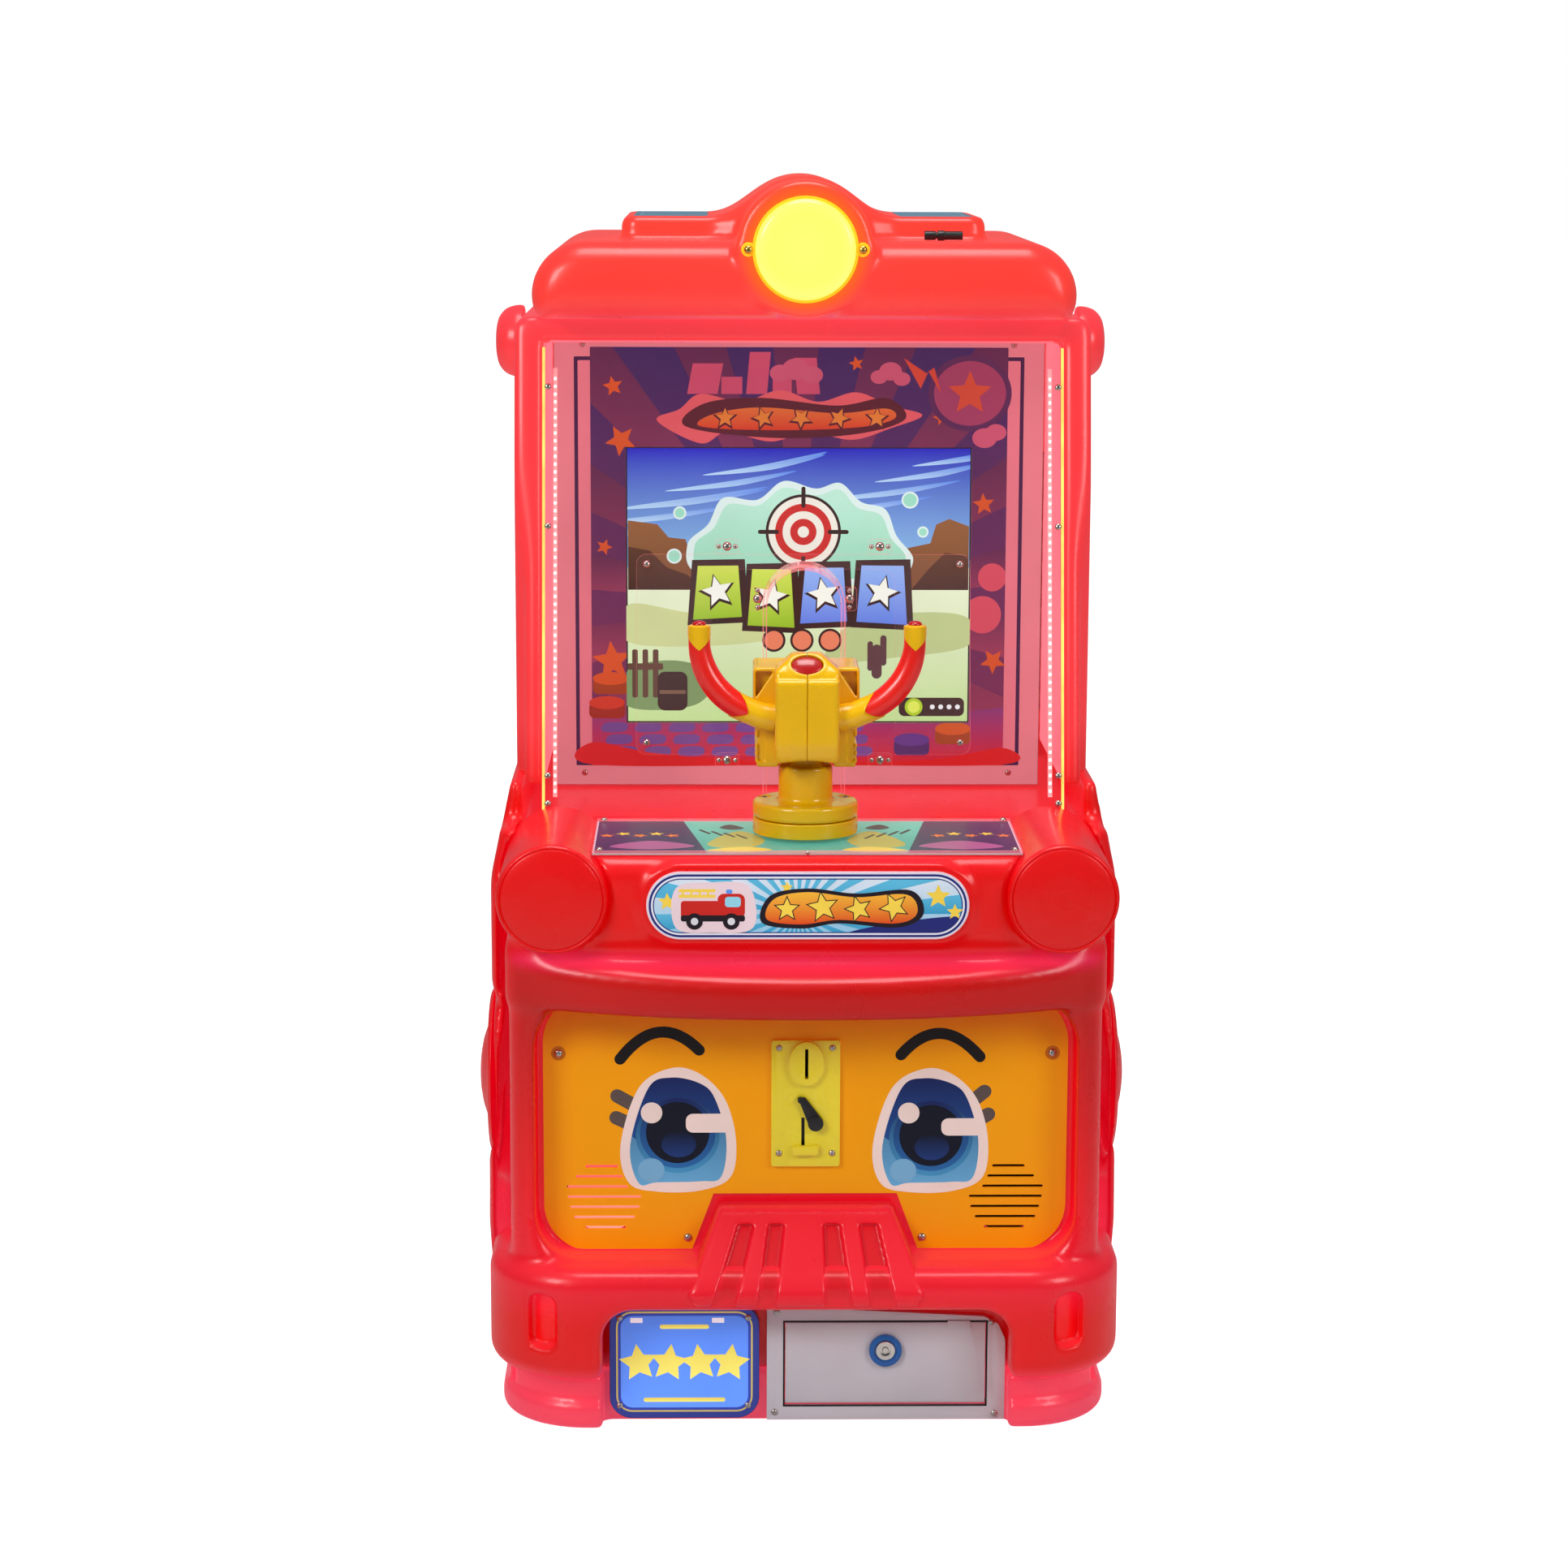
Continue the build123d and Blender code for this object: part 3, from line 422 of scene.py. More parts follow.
def darker(colour, share):
    """Opaque colour with each part scaled."""
    return tuple(c * share for c in colour[:3]) + (1.0,)


class Paint:
    """A material under construction, with short words for its nodes."""

    def __init__(self, name, roughness=0.35, **constants):
        self.material = bpy.data.materials.new(name)
        self.material.use_nodes = True
        self.tree = self.material.node_tree
        self.shader = self.tree.nodes["Principled BSDF"]
        self.shader.inputs["Roughness"].default_value = roughness
        for key, value in constants.items():
            self.shader.inputs[key.replace("_", " ")].default_value = value
        self.place = self.add("TexCoord").outputs["Object"]

    def add(self, kind, **settings):
        node = self.tree.nodes.new("ShaderNode" + kind)
        for key, value in settings.items():
            setattr(node, key, value)
        return node

    def feed(self, socket, value):
        if isinstance(value, bpy.types.NodeSocket):
            self.tree.links.new(value, socket)
        else:
            socket.default_value = value

    def set(self, **inputs):
        for key, value in inputs.items():
            self.feed(self.shader.inputs[key.replace("_", " ")], value)

    def times(self, a, b):
        node = self.add("Math", operation="MULTIPLY")
        self.feed(node.inputs[0], a)
        self.feed(node.inputs[1], b)
        return node.outputs[0]

    def axes(self, source=None):
        node = self.add("SeparateXYZ")
        self.feed(node.inputs[0], source or self.place)
        return node.outputs

    def noise(self, scale, detail=3.0, stretch=(1, 1, 1)):
        mapping = self.add("Mapping")
        self.feed(mapping.inputs["Vector"], self.place)
        mapping.inputs["Scale"].default_value = stretch
        node = self.add("TexNoise")
        self.feed(node.inputs["Vector"], mapping.outputs[0])
        node.inputs["Scale"].default_value = scale
        node.inputs["Detail"].default_value = detail
        return node.outputs["Fac"]

    def span(self, value, low, high, start=0.0, end=1.0, smooth=True):
        """Value brought from low..high to start..end."""
        node = self.add("MapRange", interpolation_type="SMOOTHSTEP" if smooth else "LINEAR")
        self.feed(node.inputs["Value"], value)
        for key, number in (("From Min", low), ("From Max", high), ("To Min", start), ("To Max", end)):
            self.feed(node.inputs[key], number)
        return node.outputs[0]

    def mix(self, factor, a, b, blend="MIX"):
        node = self.add("Mix", data_type="RGBA", blend_type=blend)
        self.feed(node.inputs[0], factor)
        self.feed(node.inputs[6], a)
        self.feed(node.inputs[7], b)
        return node.outputs[2]

    def ramp(self, value, stops):
        node = self.add("ValToRGB")
        band = node.color_ramp
        while len(band.elements) < len(stops):
            band.elements.new(0.5)
        for element, (where, colour) in zip(band.elements, stops):
            element.position = where
            element.color = colour
        self.feed(node.inputs[0], value)
        return node.outputs[0]

    def distance(self, point, flatten=(1, 1, 1)):
        """Distance from a point in metres, with each axis scaled by flatten."""
        shifted = self.add("VectorMath", operation="SUBTRACT")
        self.feed(shifted.inputs[0], self.place)
        shifted.inputs[1].default_value = point
        scaled = self.add("VectorMath", operation="MULTIPLY")
        self.feed(scaled.inputs[0], shifted.outputs[0])
        scaled.inputs[1].default_value = flatten
        length = self.add("VectorMath", operation="LENGTH")
        self.feed(length.inputs[0], scaled.outputs[0])
        return length.outputs["Value"]

    def bump(self, height, strength, depth):
        node = self.add("Bump")
        node.inputs["Strength"].default_value = strength
        node.inputs["Distance"].default_value = depth
        self.feed(node.inputs["Height"], height)
        self.feed(self.shader.inputs["Normal"], node.outputs[0])


def moulded(name, colour, roughness=0.3, variation=0.12, grain=900, depth=0.0002, coat=0.0):
    """Moulded plastic: cloudy colour, faint handling marks and a fine surface grain."""
    paint = Paint(name, roughness, Coat_Weight=coat, Coat_Roughness=0.06)
    cloud = paint.span(paint.noise(9, 3), 0.35, 0.65)
    paint.set(Base_Color=paint.mix(cloud, darker(colour, 1 - variation), colour))
    marks = paint.noise(26, 5)
    paint.set(Roughness=paint.span(marks, 0.3, 0.7, roughness * 0.88, roughness * 1.15))
    paint.bump(paint.noise(grain, 2), 0.04, depth)
    return paint


# Red, green and blue that room light gives the red plastic
DAYLIGHT = (0.5, 0.024, 0.022)
# Share of the height, then the 8-bit colour to reach there
FOOT_BANDS = [(0.000, 250, 80, 100), (0.045, 250, 66, 84), (0.062, 222, 38, 42), (0.095, 222, 40, 42),
              (0.125, 230, 48, 58), (0.165, 230, 44, 52), (0.210, 224, 42, 46)]
# Brow bands: painted shade on the brim's downward-facing front, then a pink band in the valley above it, part
# glow and part painted highlight
BROW_SHADE_BANDS = [(0.335, 180, 14, 4), (0.355, 184, 14, 4), (0.381, 194, 16, 8), (0.391, 238, 56, 86),
              (0.402, 218, 30, 28), (0.440, 222, 32, 28)]
UPPER_BANDS = [(0.475, 230, 42, 44), (0.490, 224, 34, 36), (0.550, 252, 70, 74), (0.860, 253, 72, 76),
               (0.885, 253, 76, 84), (0.900, 253, 74, 68), (0.960, 253, 76, 66), (1.000, 252, 82, 64)]


def lit_red(name="red_polyethylene", gain=1.0, painted_light_tint=None, vertex_glow_and_shade=False):
    """Glossy red polyethylene with its own glow, pinker where the lamps inside sit close to the wall.

    The glow makes up what the bands ask for beyond DAYLIGHT; the brow bands paint shade on the brim and hold
    at the front only.
    Upward faces get a painted sheen. It leans towards the painted light tint, and some pieces take per-vertex
    levels of glow and painted shade.
    """
    paint = Paint(name, 0.3, Coat_Weight=0.1, Coat_Roughness=0.08, Specular_IOR_Level=0.38)
    cloud = paint.span(paint.noise(5, 2), 0.35, 0.65)
    paint.set(Base_Color=paint.mix(cloud, linear(204, 12, 9), linear(210, 15, 11)))
    _, y, z = paint.axes()
    height = paint.span(z, 0.0, ROOF_HIGH.z * MM, 0.0, 1.0, smooth=False)

    def glow(bands):
        stops = []
        for where, *tone in bands:
            goal = linear(*tone)
            stops.append((where, tuple(max(c - d, 0.0) for c, d in zip(goal, DAYLIGHT)) + (1.0,)))
        return paint.ramp(height, stops)

    # The brow bands' painted brim shade and valley highlight hold at the front only
    behind_face = paint.span(y, -0.325, -0.3)
    at_front = glow(FOOT_BANDS + BROW_SHADE_BANDS + UPPER_BANDS)
    inner = paint.mix(behind_face, at_front, glow(FOOT_BANDS + UPPER_BANDS))
    # Painted sheen: faces that look up lean a little towards pink
    up = paint.axes(paint.add("NewGeometry").outputs["Normal"])[2]
    ledge = paint.span(up, 0.2, 0.95, 0.0, 0.12)
    inner = paint.mix(ledge, inner, linear(255, 90, 110))
    drift = paint.span(paint.noise(3.2, 1), 0.3, 0.7, 0.93, 1.05)
    near_lamp = paint.distance((0, LAMP_FACE_Y * MM, LAMP_Z * MM))
    halo = paint.span(near_lamp, LAMP_R * MM, LAMP_R * MM + 0.02, 0.75, 0.0)
    inner = paint.mix(halo, inner, linear(255, 110, 14))
    # Painted light: a tint, where given, laid over the glow
    inner = paint.mix(0.8, inner, painted_light_tint) if painted_light_tint else inner
    # Per-vertex levels: glow, and painted shade where they drop below one
    level = paint.add("Attribute", attribute_name="glow").outputs["Fac"] if vertex_glow_and_shade else 1.0
    strength = paint.times(paint.times(drift, gain), level)
    paint.set(Emission_Color=inner, Emission_Strength=strength)
    paint.set(Roughness=paint.span(paint.noise(18, 2), 0.3, 0.7, 0.27, 0.32))
    paint.bump(paint.noise(500, 2), 0.02, 0.0002)
    return paint.material


def metal(name, colour, roughness, brushed=(1, 1, 1), strength=0.1):
    """Plated metal with fine streaks, drawn out along the axis where brushed is largest."""
    paint = Paint(name, roughness, Metallic=1.0)
    streak = paint.noise(220, 4, brushed)
    paint.set(Base_Color=paint.mix(paint.span(streak, 0.3, 0.7), darker(colour, 0.86), colour))
    paint.set(Roughness=paint.span(streak, 0.3, 0.7, roughness * 0.8, roughness * 1.25))
    paint.bump(streak, strength, 0.0001)
    return paint.material


def glow_levels(item, level):
    """Glow of each vertex, lowered as painted shade in places, from a function of its x, y and z in mm."""
    flat = np.empty(len(item.data.vertices) * 3)
    item.data.vertices.foreach_get("co", flat)
    values = level(*(flat.reshape(-1, 3) / MM).T)
    glow = item.data.attributes.new("glow", "FLOAT", "POINT")
    glow.data.foreach_set("value", values.astype(np.float32))


def powder_coated(name, colour):
    """Powder coat: a fine orange-peel texture with faint dirt."""
    paint = Paint(name, 0.42)
    dirt = paint.span(paint.noise(8, 3), 0.42, 0.75)
    paint.set(Base_Color=paint.mix(dirt, colour, darker(colour, 0.93)))
    paint.bump(paint.noise(1400, 2), 0.18, 0.0002)
    return paint.material


def printed(name, emission=0.0, roughness=0.25, body=1.0):
    """Printed film that takes its ink from the sheet's own colours; body is how much it shows unlit."""
    paint = Paint(name, roughness, Specular_IOR_Level=0.25, Emission_Strength=emission)
    ink = paint.add("Attribute", attribute_name="ink").outputs["Color"]
    fade = paint.span(paint.noise(9, 3), 0.3, 0.7, 0.92, 1.0)
    colour = paint.mix(1.0, ink, fade, "MULTIPLY")
    paint.set(Base_Color=paint.mix(1.0, colour, (body, body, body, 1.0), "MULTIPLY"))
    if emission:
        paint.set(Emission_Color=colour)
    paint.bump(paint.noise(700, 2), 0.02, 0.0001)
    return paint.material


def clear_sheet(name, alpha, tint, glow=0.0, roughness=0.05):
    """Clear acrylic with faint wipe marks."""
    paint = Paint(name, roughness, Alpha=alpha, IOR=1.49, Emission_Strength=glow)
    smear = paint.span(paint.noise(11, 6, (1, 1, 0.3)), 0.35, 0.7)
    paint.set(Base_Color=paint.mix(smear, tint, darker(tint, 0.9)))
    paint.set(Emission_Color=tint)
    paint.set(Roughness=paint.span(paint.noise(30, 4), 0.3, 0.7, roughness, roughness * 2))
    return paint.material


def glowing(name, colour, strength, fleck=0.0, base=None):
    """Light source behind a diffuser, a little uneven."""
    paint = Paint(name, 0.3)
    cloud = paint.span(paint.noise(26, 3), 0.3, 0.7, 1 - fleck, 1.0)
    paint.set(Base_Color=base or colour, Emission_Color=colour,
              Emission_Strength=paint.times(cloud, strength))
    return paint.material


RED = lit_red()
# Red whose per-vertex levels paint shade into the nose's grooves and the bumper's bay
RED_WITH_PAINTED_SHADE = lit_red("red_painted_recess_shade", vertex_glow_and_shade=True)
DRUM_RED = lit_red("red_drum", 0.85)
RED_HORN = moulded("red_grip", linear(248, 26, 14), 0.3, 0.1, 700, 0.0002, 0.4).material
RED_BUTTON = moulded("red_button", linear(190, 8, 8), 0.28, 0.08, 900, 0.0001, 0.6).material
YELLOW = moulded("yellow_abs", linear(252, 196, 4), 0.24, 0.08, 1100, 0.0001, 0.3).material
BLACK = moulded("black_abs", linear(26, 25, 27), 0.4, 0.2).material
RUBBER = moulded("black_rubber", linear(30, 30, 31), 0.75, 0.2, 500, 0.0004).material
STEEL = metal("plated_steel", linear(200, 196, 190), 0.28, (1, 1, 6))
CHROME = metal("lock_chrome", linear(225, 222, 218), 0.12)
WHITE_STEEL = powder_coated("white_powder_coat", linear(212, 207, 214))
COIN_YELLOW = moulded("coin_yellow", linear(252, 232, 40), 0.28, 0.1, 900, 0.0001, 0.3).material
CLEAR = clear_sheet("clear_acrylic", 0.018, linear(255, 200, 206), 0.0)
CLEAR_EDGE = clear_sheet("clear_edge", 0.45, linear(255, 150, 158), 0.3)
STRIP_EDGE = glowing("lit_window_edge", linear(255, 196, 96), 1.5, 0.4, linear(250, 150, 60))
LED_DOT = glowing("led_dots", linear(255, 232, 226), 1.6)


# --- Camera, floor and light

def studio():
    """Camera at the standing viewer's height, a pale floor, and soft light from above and both sides."""
    scene = bpy.context.scene
    scene.view_settings.view_transform = "Standard"
    data = bpy.data.cameras.new("camera")
    data.sensor_width = 36
    data.lens = 82.73
    camera = added("camera", data)
    heading, down, roll = -1.09, 10.4, 0.2
    turn = Matrix.Rotation(radians(heading), 4, "Z") @ Matrix.Rotation(radians(90 - down), 4, "X")
    turn = turn @ Matrix.Rotation(radians(roll), 4, "Z")
    camera.matrix_world = Matrix.Translation((-0.087, -3.695, 1.265)) @ turn
    scene.camera = camera

    reach = 30
    rim = [(-reach, -reach, 0), (reach, -reach, 0), (reach, reach, 0), (-reach, reach, 0)]
    floor = mesh_object("floor", rim, [(0, 1, 2, 3)])
    paint = Paint("pale_floor", 0.6)
    paint.set(Base_Color=paint.mix(paint.span(paint.noise(1.5, 3), 0.3, 0.7), linear(212, 212, 212),
                                   linear(218, 218, 218)))
    seen = paint.add("LightPath").outputs["Is Camera Ray"]
    paint.set(Emission_Color=(1, 1, 1, 1), Emission_Strength=paint.times(seen, 1.0))
    floor.data.materials.append(paint.material)

    world = bpy.data.worlds.new("studio")
    world.use_nodes = True
    sky = world.node_tree.nodes["Background"]
    sky.inputs["Color"].default_value = (1, 1, 1, 1)
    seen = world.node_tree.nodes.new("ShaderNodeLightPath").outputs["Is Camera Ray"]
    level = world.node_tree.nodes.new("ShaderNodeMapRange")
    level.inputs["To Min"].default_value = 0.14
    level.inputs["To Max"].default_value = 1.0
    world.node_tree.links.new(seen, level.inputs["Value"])
    world.node_tree.links.new(level.outputs[0], sky.inputs["Strength"])
    scene.world = world
    aim = Vector((0, 0, 0.75))
    softboxes = [("key", (-2.1, -2.5, 2.3), 1.1, 52), ("fill", (2.3, -2.3, 1.9), 1.1, 30),
                 ("top", (0, -0.5, 3.3), 1.4, 44)]
    for name, where, size, power in softboxes:
        light = bpy.data.lights.new(name, "AREA")
        light.shape = "SQUARE"
        light.size = size
        light.energy = power
        softbox = added(name, light)
        softbox.location = where
        softbox.rotation_euler = (aim - Vector(where)).to_track_quat("-Z", "Y").to_euler()


# --- Rotomoulded shells

def drum_hole(g):
    """Seat of the headlight drums, with a little room round them."""
    return disc(np.abs(g.x), g.z, DRUM_X, DRUM_Z, DRUM_R + 0.6)


def nose_slope(z):
    """Front of the grooved nose at height z."""
    return curve(z, [(126, -355), (150, -362), (160, -356), (224, -305), (245, -296)], 5)


def nose_grooves(x, z, edge=3):
    """Four slanted grooves that widen downward."""
    field = 1e3
    spans = (((-67, -51), (-95, -73)), ((-37, -21), (-49, -32)), ((17, 34), (19, 46)), ((52, 71), (64, 89)))
    for (a, b), (c, d) in spans:
        outline = [(a + edge, 205), (b - edge, 205), (d - edge, 130), (c + edge, 130)]
        field = np.minimum(field, polygon(x, z, outline) - edge)
    return field


def nose():
    """Trapezoid grille under the coin mechanism, with four slanted grooves that widen downward and painted
    shade in them.
    """
    g = Grid((-130, -370, 136), (130, FACE_Y - 1, 236), 1.8)
    front = nose_slope(g.z)
    outline = polygon(g.x, g.z, [(-80, 216), (80, 216), (108, 150), (104, 143), (-104, 143), (-108, 150)]) - 7
    shape = both(both(outline, front - g.y, 8), g.y - FACE_Y - 4)
    shape = cut(shape, both(nose_grooves(g.x, g.z), g.y - front - 10, 3), 3)
    item = skinned("nose_grille", g, shape)
    # Painted shade: the glow drops in the grooves, more the deeper they lie behind the front
    glow_levels(item, lambda x, y, z: 1.05 - 0.5 * np.clip((y - nose_slope(z) - 3) / 6, 0, 1))
    return place(item, "cabinet", None, RED_WITH_PAINTED_SHADE)


def brim_field(g):
    """Visor over the face, deepest in the middle and fading into the frame at both ends."""
    plan = oval(g.x, g.y, 0, -296, 290, -296 - BRIM_Y)
    arch = BRIM_LOW + 3 * (g.x / RECESS_HALF) ** 2
    roof = BRIM_HIGH + (g.y - FRAME_Y) * 0.32
    return both(both(plan, (g.z - roof) * 0.95, 12), arch - g.z, 8)


def front_glow(x, y, z):
    """Brighter inside the fog lamp recesses, with painted shade in the bay and where the nose's grooves end.
    """
    plan = rect(x, y, -BUMPER_HALF, BUMPER_HALF, BUMPER_Y, 0, BUMPER_R)
    recess = rect(np.abs(x), z, FOG_INNER - 1, FOG_OUTER + 1, FOG_LOW - 1, FOG_HIGH + 1, FOG_R)
    inside = np.clip(-recess / 5, 0, 1) * np.clip((-plan - 5) / 6, 0, 1)
    # Painted shade in the bay under the bumper and at the lower ends of the nose's grooves
    bay = rect(x, z, BAY_LEFT - 3, BAY_RIGHT + 3, -60, BAY_TOP + 3, 30)
    shadow = np.clip(-bay / 4, 0, 1)
    groove_end_shade = np.clip(-nose_grooves(x, z) / 3, 0, 1) * np.clip((z - 143) / 6, 0, 1) * (y < -345)
    return 1.0 + 0.7 * inside - 0.5 * shadow - 0.4 * groove_end_shade


def lower_front():
    """Front half of the body: face frame with its recess and visor, bumper with its bay, and deck."""
    g = Grid((-316, -376, 52), (316, -196, 584), 3.6)
    side = np.abs(g.x)
    bowed = g.y - 12 * (g.x / FRAME_HALF) ** 2
    sheet = curve(g.z, [(50, -330), (150, -336), (180, FRAME_Y), (478, -333), (486, -333), (500, HEADER_Y),
                        (562, HEADER_Y), (582, -330)], 6)
    plan = rect(g.x, bowed - sheet, -FRAME_HALF, FRAME_HALF, 0, 400, 36)
    front = rect(g.x, g.z, -FRAME_HALF, FRAME_HALF, 56, DECK_Z + 8, 50)
    shell = both(plan, front, 10)
    shell = both(shell, g.z - DECK_Z, 12)
    recess = rect(g.x, g.z, -RECESS_HALF, RECESS_HALF, RECESS_LOW, RECESS_HIGH, RECESS_R)
    shell = cut(shell, prism(recess, g.y, -FAR, FACE_Y), 9)
    inner_lip = rect(g.x, g.z, -RECESS_HALF - 6, RECESS_HALF + 6, RECESS_LOW - 2, RECESS_HIGH, RECESS_R + 5)
    shell = cut(shell, prism(inner_lip, g.y, -FAR, -326), 7)
    shell = join(shell, brim_field(g), 10)
    bumper_plan = rect(g.x, g.y, -BUMPER_HALF, BUMPER_HALF, BUMPER_Y, 0, BUMPER_R)
    shell = join(shell, prism(bumper_plan, g.z, SKIRT_TOP, BUMPER_TOP, 20), 9)
    bay = prism(rect(g.x, g.z, BAY_LEFT, BAY_RIGHT, -60, BAY_TOP, 30), g.y, -FAR, BAY_Y)
    shell = cut(shell, bay, 12)
    fog = rect(side, g.z, FOG_INNER, FOG_OUTER, FOG_LOW, FOG_HIGH, FOG_R)
    shell = cut(shell, both(fog, -13 - bumper_plan, 3), 3)
    margin = 3
    header_seat = rect(g.x, g.z, HEADER_LOW.x - margin, HEADER_HIGH.x + margin,
                       HEADER_LOW.z - margin, HEADER_HIGH.z + margin, 36)
    shell = join(shell, prism(header_seat - 4, g.y, HEADER_Y - 1.5, HEADER_Y + 20, 2), 5)
    shell = cut(shell, prism(header_seat, g.y, -FAR, HEADER_Y), 1)
    shell = cut(shell, drum_hole(g), 3)
    room = prism(rect(g.x, g.z, -282, 282, 66, DECK_Z - SHELL_T, 44), g.y, FACE_Y + SHELL_T, 0)
    shell = cut(shell, cut(room, drum_hole(g) - SHELL_T))
    coin_hole = rect(g.x, g.z, -30, 30, 263, 383, 3)
    speakers = disc(side, g.z, SPEAKER_X, SPEAKER_Z, SPEAKER_R)
    shell = cut(shell, prism(join(coin_hole, speakers), g.y, FACE_Y - 4, FACE_Y + 20))
    till = rect(g.x, g.z, DOOR_LEFT - DOOR_GAP, DOOR_RIGHT + DOOR_GAP, -60, DOOR_HIGH + DOOR_GAP, 1)
    shell = cut(shell, prism(till, g.y, BAY_Y - 1, -250))
    spindle = disc(g.x, g.y, 0, GUN_Y, 14)
    shell = cut(shell, prism(spindle, g.z, DECK_Z - 30, DECK_Z + 10))
    shell = both(shell, g.y - SPLIT_Y)
    item = skinned("front_moulding", g, shell)
    # Glow levels, with painted shade in the bay and at the grooves' lower ends
    glow_levels(item, front_glow)
    return place(item, "cabinet", "lower_front_shell", RED_WITH_PAINTED_SHADE)


def lower_rear():
    """Rear half of the body, waisted at the sides, with the wheel hubs' seats and the service openings."""
    g = Grid((-322, -206, 52), (322, 368, 624), 5.0)
    side = np.abs(g.x)
    half = curve(g.z, [(50, 300), (80, 311), (170, 317), (260, 316), (345, 312), (400, 305), (414, 312),
                       (521, 312), (530, 311), (RIM_Z + 3, HOOD_HALF + 1)], 5)
    taper = curve(g.y, [(-210, 0), (325, 0), (370, 8)], 8)
    outward = side - half + taper
    shell = prism(rect(outward, g.y, -FAR, 0, SPLIT_Y, SHELL_BACK, 22), g.z, SKIRT_TOP, RIM_Z, 3)
    hub = disc(g.y, g.z, HUB_Y, HUB_Z, HUB_R + 16)
    shell = join(shell, prism(hub, side, 250, SIDE_HALF - 3, 4), 6)
    hub_seat = disc(g.y, g.z, HUB_Y, HUB_Z, HUB_R + 1)
    shell = cut(shell, both(hub_seat, SIDE_HALF - 0.5 - side), 2)
    shell = cut(shell, both(DECK_Z - g.z, g.y + 146, 6), 4)
    display = rect(g.x, g.y, -HOOD_HALF + 9, HOOD_HALF - 9, -146, HOOD_BACK - 10, 4)
    shell = cut(shell, prism(display, g.z, FLOOR_Z, 2 * FAR), 4)
    ledge = both(HOOD_BACK - g.y, FLOOR_Z + 17 - g.z)
    shell = cut(shell, ledge, 6)
    drum_back = DRUM_HIGH.y + 1
    shell = cut(shell, both(drum_hole(g), g.y - drum_back), 2)
    wall_plan = rect(outward, g.y, -FAR, -SHELL_T, -FAR, SHELL_BACK - SHELL_T, 16)
    room = prism(wall_plan, g.z, 0, FLOOR_Z - SHELL_T)
    drum_wall = both(disc(side, g.z, DRUM_X, DRUM_Z, DRUM_R + SHELL_T), g.y - drum_back - SHELL_T)
    shell = cut(shell, cut(room, drum_wall))
    door_low, door_high = corners("rear_door")
    hole = rect(g.x, g.z, door_low.x + 16, door_high.x - 12, door_low.z + 12, door_high.z - 12, 4)
    inlet_low, inlet_high = corners("power_inlet")
    inlet = rect(g.x, g.z, inlet_low.x + 5, inlet_high.x - 5, inlet_low.z + 6, inlet_high.z - 6, 2)
    shell = cut(shell, prism(join(hole, inlet), g.y, SHELL_BACK - 30, SHELL_BACK + 10))
    item = skinned("rear_moulding", g, shell)
    return place(item, "cabinet", "lower_rear_shell", RED)


def skirt():
    """Base with two front shoes, each in two tiers."""
    g = Grid((-306, -338, -3), (306, 358, 64), 3.6)
    plan = rect(g.x, g.y, SKIRT_LOW.x, SKIRT_HIGH.x, SKIRT_LOW.y, SKIRT_HIGH.y + 100, 88)
    lower = prism(plan, g.z, SKIRT_LOW.z, 31, 9)
    upper = prism(plan + 7, g.z, 10, SKIRT_TOP, 8)
    shell = both(join(lower, upper, 5), g.y - SKIRT_HIGH.y, 4)
    bay = rect(g.x, g.y, BAY_LEFT, BAY_RIGHT, -FAR, BAY_Y, 10)
    shell = cut(shell, bay + 0 * g.z, 6)
    inner_y, open_top = -274, 99
    shell = cut(shell, prism(rect(g.x, g.y, -288, 288, inner_y, 340, 6), g.z, 12, open_top))
    till = rect(g.x, g.z, DOOR_LEFT - DOOR_GAP, DOOR_RIGHT + DOOR_GAP, DOOR_LOW - DOOR_GAP, open_top, 0.5)
    shell = cut(shell, prism(till, g.y, BAY_Y - 1, inner_y))
    item = skinned("base_moulding", g, shell)
    return place(item, "cabinet", "base_skirt", RED)


